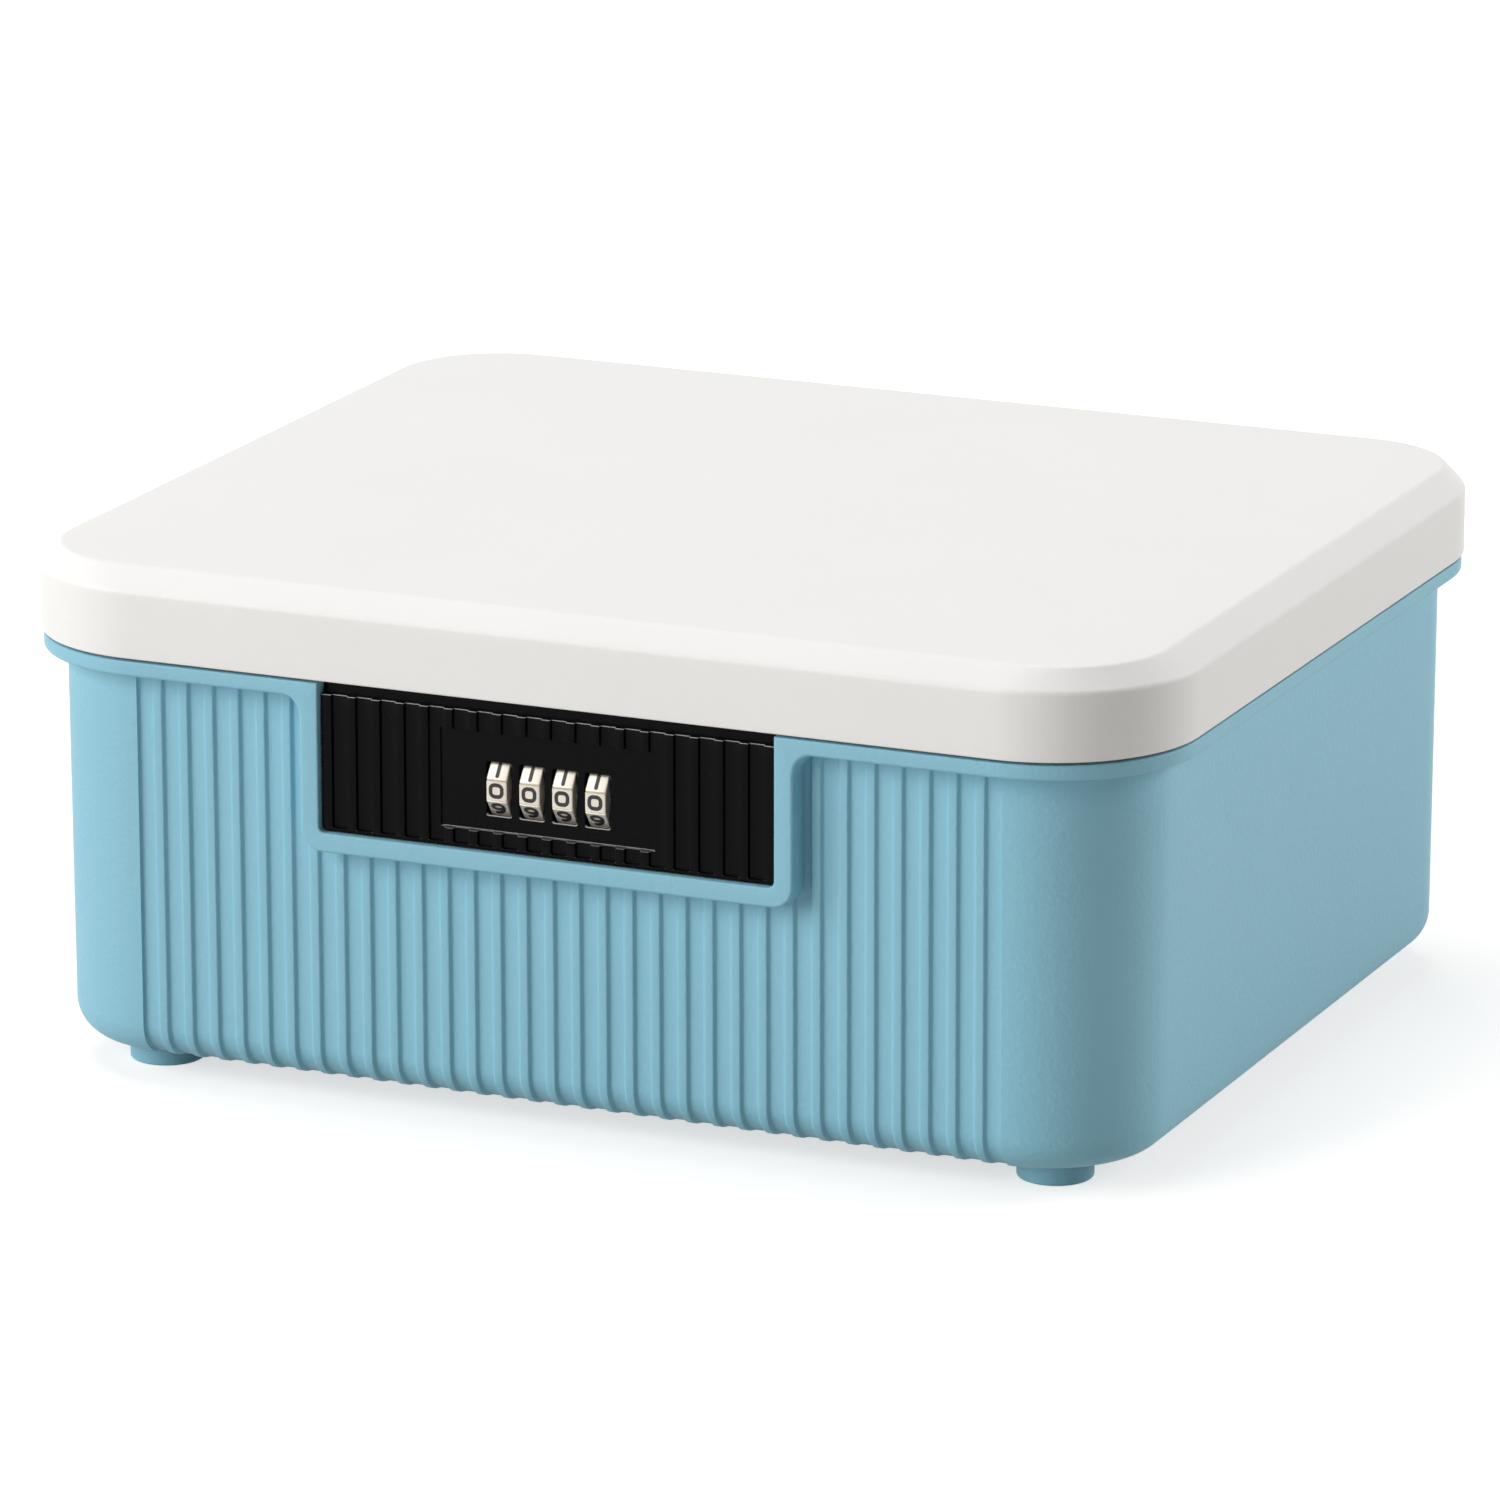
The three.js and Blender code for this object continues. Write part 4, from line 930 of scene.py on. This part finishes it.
# %% The plate's front
LEDGE_DROP = 2.8
BAND_DEPTH = 1.9
BAND_WALL = 1.6
PLATE_FLUTES = 18
PLATE_PITCH = 6.4
PLATE_FLUTE_WIDTH = 3.9
PLATE_FLUTE_DEPTH = 0.8
POCKET_WIDTH = 56.0
POCKET_HEIGHT = 24.4
POCKET_TOP = 8.6
PLATE_EASE = 0.45
PLATE_STRIP = 0.9
STRIP_EASE = 0.06
PLATE_REACH = 0.55
PLATE_ROUND = 0.3
PLATE_SPARE = 0.05
LEDGE_Z = RIM_TOP - LEDGE_DROP
plate_half = half_notch - CLEARANCE
plate_bottom = -NOTCH_HEIGHT + CLEARANCE
plate_grooves = (np.arange(PLATE_FLUTES) - (PLATE_FLUTES - 1) / 2) * PLATE_PITCH
pocket_middle = -POCKET_TOP - POCKET_HEIGHT / 2


def edge_lines(edges):
    """Seven grid lines crowded across each edge, from one side of its ease to the other."""
    return (np.asarray(edges)[:, None] + PLATE_EASE * np.linspace(-PLATE_REACH, PLATE_REACH, 7)).ravel()


def plate_depth(across, z):
    """Depth below the ribs: grooves by x above a plain strip, the pocket, and a rounded edge."""
    away = np.abs(across[:, None] - plate_grooves).min(1)
    groove = PLATE_FLUTE_DEPTH * within(away, PLATE_FLUTE_WIDTH / 2, PLATE_EASE)
    side = within(np.abs(across), POCKET_WIDTH / 2, PLATE_EASE)
    level = within(np.abs(z - pocket_middle), POCKET_HEIGHT / 2, PLATE_EASE)
    pocket = POCKET_DEPTH * np.minimum(side[:, None], level[None, :])
    groove = groove[:, None] * smooth_step((z - plate_bottom - PLATE_STRIP) / STRIP_EASE + 0.5)
    edge = np.minimum(plate_half - np.abs(across)[:, None],
                      np.minimum(z - plate_bottom, LEDGE_Z - z)[None, :])
    inside = PLATE_ROUND - np.clip(edge, 0, PLATE_ROUND)
    return np.maximum(groove, pocket) + PLATE_ROUND - np.sqrt(PLATE_ROUND ** 2 - inside ** 2)


round_steps = PLATE_ROUND * (1 - np.cos(np.radians(np.linspace(0, 90, 6))))
side_lines = np.concatenate([[-plate_half - PLATE_SPARE], -plate_half + round_steps])
groove_edges = np.concatenate([plate_grooves - PLATE_FLUTE_WIDTH / 2, plate_grooves + PLATE_FLUTE_WIDTH / 2,
                               [-POCKET_WIDTH / 2, POCKET_WIDTH / 2]])
plate_x = np.unique(np.round(np.concatenate([side_lines, -side_lines, edge_lines(groove_edges)]), 4))
plate_x = plate_x[np.abs(plate_x) <= plate_half + PLATE_SPARE]
plate_z = np.unique(np.round(np.concatenate([
    [plate_bottom - PLATE_SPARE], plate_bottom + round_steps, LEDGE_Z - round_steps,
    np.linspace(plate_bottom, LEDGE_Z, 9), plate_bottom + PLATE_STRIP + STRIP_EASE * np.array([-0.5, 0.5]),
    edge_lines([-POCKET_TOP, -POCKET_TOP - POCKET_HEIGHT])]), 4))
plate_y = PANEL_FACE_Y + plate_depth(plate_x, plate_z)
across, level = np.meshgrid(plate_x + LOCK_X, plate_z, indexing="ij")
front_part = np.stack([across, plate_y, level], -1)
back_part = front_part[:, [-1, 0]].copy()
back_part[..., 1] = PLATE_BACK_Y
plate = skin("lock_plate", np.concatenate([front_part, back_part], 1))
print("plate grid:", len(plate_x), "by", len(plate_z))

# %% [markdown]
# ### Windows, bosses and rooms behind the plate
#
# Each dial looks out of its own window, whose edge is broken by a small chamfer so that it
# catches a line of light. Behind it the plate is hollowed for the turning dial and its sleeve.

# %% The plate's openings
WINDOW_WIDTH = 6.6
WINDOW_HEIGHT = 13.2
WINDOW_CORNER = 0.6
WINDOW_CHAMFER = 0.22
SHELF_HEIGHT = 2.2
SLEEVE_RADIUS = 5.1
HUB_END = DIAL_PITCH - DIAL_WIDTH / 2 - CLEARANCE
DIAL_CORNER = DIAL_FLATS / 2 / math.cos(math.pi / DIAL_FACETS)
WALL_BACK_Y = FRONT_Y + INNER_INSET


def round_rectangle(centre, half_u, half_v, radius, steps=6):
    """Four quarter arcs round a centre, as (u, v) points anticlockwise."""
    u, v = half_u - radius, half_v - radius
    corners = [(1, -1, -90), (1, 1, 0), (-1, 1, 90), (-1, -1, 180)]
    return np.concatenate([arc((centre[0] + su * u, centre[1] + sv * v), radius, start, start + 90, steps)
                           for su, sv, start in corners])


def window_tool(x):
    """A rounded rectangle through the plate, wider by the chamfer in front of the pocket floor."""
    levels = [(POCKET_FLOOR_Y - OVERRUN, WINDOW_CHAMFER), (POCKET_FLOOR_Y, WINDOW_CHAMFER),
              (POCKET_FLOOR_Y + WINDOW_CHAMFER, 0.0), (PLATE_BACK_Y + OVERRUN, 0.0)]
    half_u, half_v = WINDOW_WIDTH / 2, WINDOW_HEIGHT / 2
    outlines = [round_rectangle((x, dial_z), half_u + grow, half_v + grow, WINDOW_CORNER + grow)
                for _, grow in levels]
    return skin("window", [np.insert(outline, 1, y, axis=1) for outline, (y, _) in zip(outlines, levels)])


outline_tool = prism("outline_tool", u_outline(-CLEARANCE, NOTCH_CORNER, LEDGE_Z), 1,
                     PANEL_FACE_Y - OVERRUN, PLATE_BACK_Y)
band = block("band_tool", (LOCK_X - plate_half, PANEL_FACE_Y + BAND_DEPTH, LEDGE_Z - OVERRUN),
             (LOCK_X + plate_half, PANEL_FACE_Y + BAND_DEPTH + BAND_WALL, RIM_TOP))
shelf = block("shelf_tool", (spindle_low[0], PANEL_FACE_Y + BAND_DEPTH, SEAL_STEP_Z - SHELF_HEIGHT),
              (spindle_high[0], WALL_BACK_Y - CLEARANCE, SEAL_STEP_Z - CLEARANCE))
lock_bosses = gathered("lock_boss_tool", [
    rod(place, BOSS_RADIUS, 1, PLATE_BACK_Y - OVERRUN, WALL_BACK_Y, steps=40) for place in boss_places])
plate_holes = gathered("plate_hole_tool", [window_tool(x) for x in dial_x] + [
    rod(place, SCREW_HOLE_RADIUS, 1, POCKET_FLOOR_Y + PLATE_THICKNESS / 2, WALL_BACK_Y + OVERRUN, steps=24)
    for place in boss_places])
dial_axis = (dial_y, dial_z)
dial_rooms = gathered("dial_room_tool", [
    rod(dial_axis, DIAL_CORNER + CLEARANCE, 0, x - WINDOW_WIDTH / 2, x + WINDOW_WIDTH / 2, steps=72)
    for x in dial_x])
sleeve_room = rod(dial_axis, SLEEVE_RADIUS + CLEARANCE, 0,
                  dial_x[0], dial_x[-1] + HUB_END + CLEARANCE, steps=72)
plate = worked(plate, [("INTERSECT", outline_tool), ("UNION", band), ("UNION", shelf), ("UNION", lock_bosses),
                       ("DIFFERENCE", plate_holes), ("DIFFERENCE", dial_rooms), ("DIFFERENCE", sleeve_room)])
finish_piece(plate, "box", ["lock_faceplate"], plate_finish)

# %% [markdown]
# ## The dials
#
# Each dial is a ten-sided ring of plated zinc. A fine groove parts each facet from the next, and
# draws the thin dark line between the digits. The rims are rounded, because a casting has no
# knife edges. The section is a decagon with a notch at each corner, a little smaller at both rims.

# %% Four dials
DIAL_EDGE = 0.4
FACET_GROOVE = 0.5
FACET_GROOVE_DEPTH = 0.4
half_facet = math.degrees(math.pi / DIAL_FACETS)
facet_corners = arc((0, 0), DIAL_CORNER, half_facet, 360 - half_facet, DIAL_FACETS - 1)
facet_edge = np.roll(facet_corners, -1, 0) - facet_corners
groove_reach = facet_edge / np.linalg.norm(facet_edge, axis=1, keepdims=True) * FACET_GROOVE / 2
decagon = np.stack([facet_corners - np.roll(groove_reach, 1, 0),
                    facet_corners * (1 - FACET_GROOVE_DEPTH / DIAL_CORNER),
                    facet_corners + groove_reach], 1).reshape(-1, 2)
bore = decagon / np.linalg.norm(decagon, axis=1, keepdims=True) * (SLEEVE_RADIUS + CLEARANCE)
edge_turn = np.radians(np.linspace(0, 90, 6))
edge_in = DIAL_EDGE * (1 - np.sin(edge_turn))
edge_x = -DIAL_WIDTH / 2 + DIAL_EDGE * (1 - np.cos(edge_turn))
side_levels = [(decagon * (1 - inset * 2 / DIAL_FLATS), x) for inset, x in zip(edge_in, edge_x)]
side_levels += [(outline, -x) for outline, x in side_levels[::-1]]
side_levels += [(bore, DIAL_WIDTH / 2), (bore, -DIAL_WIDTH / 2)]
dial_shape = np.array([np.insert(outline, 0, x, axis=1) for outline, x in side_levels])
for k, x in enumerate(dial_x, start=1):
    dial = loop_skin("dial_piece_%d" % k, dial_shape + [x, *dial_axis])
    finish_piece(dial, "dial_unit_%d" % k, ["dial_%d" % k], nickel_finish)

# %% [markdown]
# ### The digits
#
# The digits are sunk a little and wiped with black enamel, which stands as a thin film. Each is
# drawn with a round pen: a path, and a flat section carried along it that closes to a half
# circle at the ends. The paths are written on a field 2.4 mm high and scaled to fill the facet.
# Facet d carries digit d, with its top towards facet d + 1's side.

# %% Pen paths of the ten digits
PEN = 0.48
FILM = 0.03
FILM_DEPTH = 0.05
DIGIT_HALF = 1.2
DIGIT_SCALE = 1.25
SAME_POINT = 0.02


def path(*parts):
    """Points of one stroke: arcs and corners one after the other, repeated points dropped."""
    points = np.concatenate([np.atleast_2d(np.asarray(part, float)) for part in parts])
    kept = np.concatenate([[True], np.linalg.norm(np.diff(points, axis=0), axis=1) > SAME_POINT])
    return points[kept]


def ring_path(centre, radius):
    """A closed oval."""
    return arc(centre, radius, 90, 450, 36)[:-1]


digit_strokes = {
    0: ([], [round_rectangle((0, 0), 1.18, 1.14, 0.85, steps=10)]),
    1: ([path(np.linspace((0, -DIGIT_HALF), (0, DIGIT_HALF), 4))], []),
    2: ([path(arc((0, 0.5), (1.1, 0.7), 165, -35, 20), (-1.15, -DIGIT_HALF), (1.2, -DIGIT_HALF))], []),
    3: ([path(arc((0, 0.6), (1.0, 0.6), 150, -90, 20), arc((0, -0.6), (1.15, 0.6), 90, -150, 20))], []),
    4: ([path((0.5, -DIGIT_HALF), (0.5, DIGIT_HALF), (-1.2, -0.4), (1.25, -0.4))], []),
    5: ([path((1.0, DIGIT_HALF), (-0.85, DIGIT_HALF), arc((0, -0.45), (1.15, 0.75), 140, -150, 24))], []),
    6: ([path(arc((0.35, -0.3), (1.45, 1.5), 180, 80, 16))], [ring_path((0, -0.5), (1.1, 0.7))]),
    7: ([path((-1.1, DIGIT_HALF), (1.15, DIGIT_HALF), (-0.2, -DIGIT_HALF))], []),
    8: ([], [ring_path((0, 0.6), (0.95, 0.6)), ring_path((0, -0.6), (1.15, 0.6))]),
    9: ([path(-arc((0.35, -0.3), (1.45, 1.5), 180, 80, 16))], [ring_path((0, 0.5), (1.1, 0.7))]),
}

# %% [markdown]
# The section is square to the path. At a bend its direction is the mean of the two sides, which
# is the usual mitre, and it is widened by one over the cosine of half the bend, up to a limit, to
# keep the pen's width. Four more sections close each open end to a half circle.

# %% From strokes to a piece on each dial
LEAST_MITRE = 0.55
CAP_TURNS = np.radians([80, 60, 40, 20])


def pen_sections(points, closed):
    """Flat sections along a path: (left, low), (left, high), (right, high), (right, low)."""
    ahead = np.roll(points, -1, 0) - points
    behind = points - np.roll(points, 1, 0)
    if not closed:
        ahead[-1], behind[0] = behind[-1], ahead[0]
    ahead /= np.linalg.norm(ahead, axis=1, keepdims=True)
    behind /= np.linalg.norm(behind, axis=1, keepdims=True)
    along = ahead + behind
    along /= np.linalg.norm(along, axis=1, keepdims=True)
    width = PEN / np.clip((along * ahead).sum(1), LEAST_MITRE, 1)
    if not closed:
        out, half, caps = PEN * np.sin(CAP_TURNS)[:, None], PEN * np.cos(CAP_TURNS), len(CAP_TURNS)
        points = np.concatenate([points[0] - along[0] * out, points, points[-1] + along[-1] * out[::-1]])
        along = np.concatenate([np.repeat(along[:1], caps, 0), along, np.repeat(along[-1:], caps, 0)])
        width = np.concatenate([half, width, half[::-1]])
    left = np.stack([-along[:, 1], along[:, 0]], -1) * width[:, None]
    flat = np.stack([points + left, points + left, points - left, points - left], 1)
    film = np.broadcast_to([[-FILM_DEPTH], [FILM], [FILM], [-FILM_DEPTH]], (*flat.shape[:2], 1))
    return np.concatenate([flat, film], -1)


def on_facet(sections, digit):
    """Section points (u, v, w) at the facet's middle: u along X, v up the facet, w out of it."""
    turn = math.radians(digit * 360 / DIAL_FACETS)
    up = np.array([0.0, math.sin(turn), math.cos(turn)])
    out = np.array([0.0, -math.cos(turn), math.sin(turn)])
    u, v, w = sections[..., :1], sections[..., 1:2], sections[..., 2:]
    return u * [1.0, 0.0, 0.0] + v * up + (w + DIAL_FLATS / 2) * out


for k, x in enumerate(dial_x, start=1):
    strokes = [make("stroke", on_facet(pen_sections(line * DIGIT_SCALE, closed), digit) + [x, *dial_axis])
               for make, closed in ((skin, False), (loop_skin, True))
               for digit, open_and_closed in digit_strokes.items() for line in open_and_closed[closed]]
    digits = gathered("digits_%d" % k, strokes)
    finish_piece(digits, "dial_unit_%d" % k, [], paint_finish)

# %% [markdown]
# ## Hinge pins
#
# A pin is a turned steel rod with a flat head, both slightly rounded at the ends so that it
# finds its bore.

# %% Two hinge pins
PIN_HEAD_RADIUS = 3.0
PIN_HEAD_LENGTH = 1.2
PIN_ROUND = 0.35
head_end = -CLEARANCE
pin_end = HINGE_LENGTH + CLEARANCE
pin_profile = np.concatenate([
    arc((PIN_HEAD_RADIUS - PIN_ROUND, head_end - PIN_HEAD_LENGTH + PIN_ROUND), PIN_ROUND, -90, 0, 5),
    [(PIN_HEAD_RADIUS, head_end), (PIN_RADIUS, head_end)],
    arc((PIN_RADIUS - PIN_ROUND, pin_end - PIN_ROUND), PIN_ROUND, 0, 90, 5)])
for where, start in zip(("left", "right"), hinge_starts):
    pin = turned("pin_" + where, pin_profile, 0, (start, hinge_y, hinge_z), steps=40)
    finish_piece(pin, "box", ["hinge_pin_" + where], steel_finish)

# %% [markdown]
# ## Parts that stay as modelled
#
# Spindle, clips, sleeves, spring, comb, case and screws sit inside the lock and the lid. They
# were modelled fully in CAD, so they keep their shapes and only get their finish.

# %% Finishes for the parts that stay
plastic_parts = {"lock_case": case_finish}
hidden_kinds = ("dial_spindle", "spindle_clip", "code_sleeve", "detent_spring", "spring_screw",
                "lock_case", "lock_screw", "strike_comb", "comb_screw", "liner_screw")
kept_parts = [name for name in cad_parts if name.startswith(hidden_kinds)]
for name in kept_parts:
    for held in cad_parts[name].material_slots:
        held.material = plastic_parts.get(name, steel_finish)
print("kept from CAD:", len(kept_parts))

# %% [markdown]
# ## Paper, light and camera
#
# The photo is a studio shot on white paper. The paper is topped up to white where it is seen, by
# the camera or in a reflection, but it throws no extra light. The top-up is less near the box than
# far from it. So the paper holds the soft shadow, and stays white where no lamp reaches.

# %% The paper
PAPER_TOP_UP = 0.64
TOP_UP_FROM = 0.3
TOP_UP_TO = 1.5
PAPER_HALF = 20
paper_finish, tree, shader, place = new_finish("matt_white_paper")
fibre = add_node(tree, "ShaderNodeTexNoise", {"Vector": place, "Scale": per_metre(2.0), "Detail": 2.0})
tone = add_node(tree, "ShaderNodeMix", {
    "Factor": fibre.outputs["Fac"], "A": linear("#C8C4C1"), "B": linear("#CECAC7")}, data_type="RGBA")
fill(tree, shader, {"Base Color": tone.outputs["Result"], "Roughness": 1.0, "Specular IOR Level": 0.0})


def seen_directly(tree):
    """1 for rays from the camera, off gloss or through glass, 0 for light on the object."""
    ray = add_node(tree, "ShaderNodeLightPath")
    pair = add_node(tree, "ShaderNodeMath", {
        0: ray.outputs["Is Camera Ray"], 1: ray.outputs["Is Glossy Ray"]}, operation="MAXIMUM")
    return add_node(tree, "ShaderNodeMath", {
        0: pair.outputs[0], 1: ray.outputs["Is Transmission Ray"]}, operation="MAXIMUM").outputs[0]


from_box = add_node(tree, "ShaderNodeVectorMath", {"Vector": place}, operation="LENGTH").outputs["Value"]
share = add_node(tree, "ShaderNodeMapRange", {
    "Value": from_box, "From Min": TOP_UP_FROM, "From Max": TOP_UP_TO,
    "To Min": PAPER_TOP_UP, "To Max": 1.0}).outputs["Result"]
top_up = add_node(tree, "ShaderNodeMath", {0: seen_directly(tree), 1: share}, operation="MULTIPLY")
fill(tree, shader, {"Emission Color": (1, 1, 1, 1), "Emission Strength": top_up.outputs[0]})
sheet_data = bpy.data.meshes.new("paper")
sheet_corners = [(x * PAPER_HALF, y * PAPER_HALF, 0) for x, y in ((-1, -1), (1, -1), (1, 1), (-1, 1))]
sheet_data.from_pydata(sheet_corners, [], [(0, 1, 2, 3)])
paper = new_object("paper", sheet_data)
sheet_data.materials.append(paper_finish)

# %% [markdown]
# Two large soft lamps stand nearly opposite each other, left and right, so the corner that looks
# at the camera between them stays darkest. A third one overhead lights the top. The room is white
# where it is seen or mirrored, and throws only a little light.

# %% The room and the lamps
ROOM_FILL = 0.1
LAMP_DISTANCE = 4.0
FULL_LIGHT = math.pi ** 2 * LAMP_DISTANCE ** 2

room = bpy.data.worlds.new("white_room")
bpy.context.scene.world = room
room.use_nodes = True
tree = room.node_tree
tree.nodes.clear()
dim = add_node(tree, "ShaderNodeBackground", {"Color": linear("#FDFBF8"), "Strength": ROOM_FILL})
white = add_node(tree, "ShaderNodeBackground", {"Color": (1, 1, 1, 1), "Strength": 1.0})
mixed = add_node(tree, "ShaderNodeMixShader", {
    0: seen_directly(tree), 1: dim.outputs[0], 2: white.outputs[0]})
add_node(tree, "ShaderNodeOutputWorld", {"Surface": mixed.outputs[0]})


def lamp(name, azimuth, elevation, size, level):
    """A square soft box aimed at the box; level 1 lights a facing surface as its colour is written."""
    made = bpy.data.lights.new(name, "AREA")
    made.size = size
    made.energy = level * FULL_LIGHT
    placed = new_object(name, made)
    a, e = math.radians(azimuth), math.radians(elevation)
    way = np.array([math.cos(e) * math.cos(a), math.cos(e) * math.sin(a), math.sin(e)])
    placed.location = way * LAMP_DISTANCE
    placed.rotation_euler = (math.pi / 2 - e, 0, a + math.pi / 2)


lamp("soft_box_left", -130, 24, 3.0, 0.87)
lamp("soft_box_right", 38, 22, 1.9, 0.53)
lamp("soft_box_top", 150, 76, 2.3, 0.45)

# %% [markdown]
# The camera looks down at 15.6 degrees from the front right with a long lens, as the photo's
# straight, nearly parallel edges show.

# %% The camera
LENS_MM = 223.2
SENSOR_MM = 36
CAMERA_PLACE = (0.89226, -2.05455, 0.69031)
CAMERA_DOWN = 15.59
CAMERA_ROUND = 23.61
camera_data = bpy.data.cameras.new("camera")
camera_data.lens = LENS_MM
camera_data.sensor_width = SENSOR_MM
camera = new_object("camera", camera_data)
camera.location = CAMERA_PLACE
camera.rotation_euler = (math.radians(90 - CAMERA_DOWN), 0, math.radians(CAMERA_ROUND))
bpy.context.scene.camera = camera
bpy.context.scene.view_settings.view_transform = "Standard"
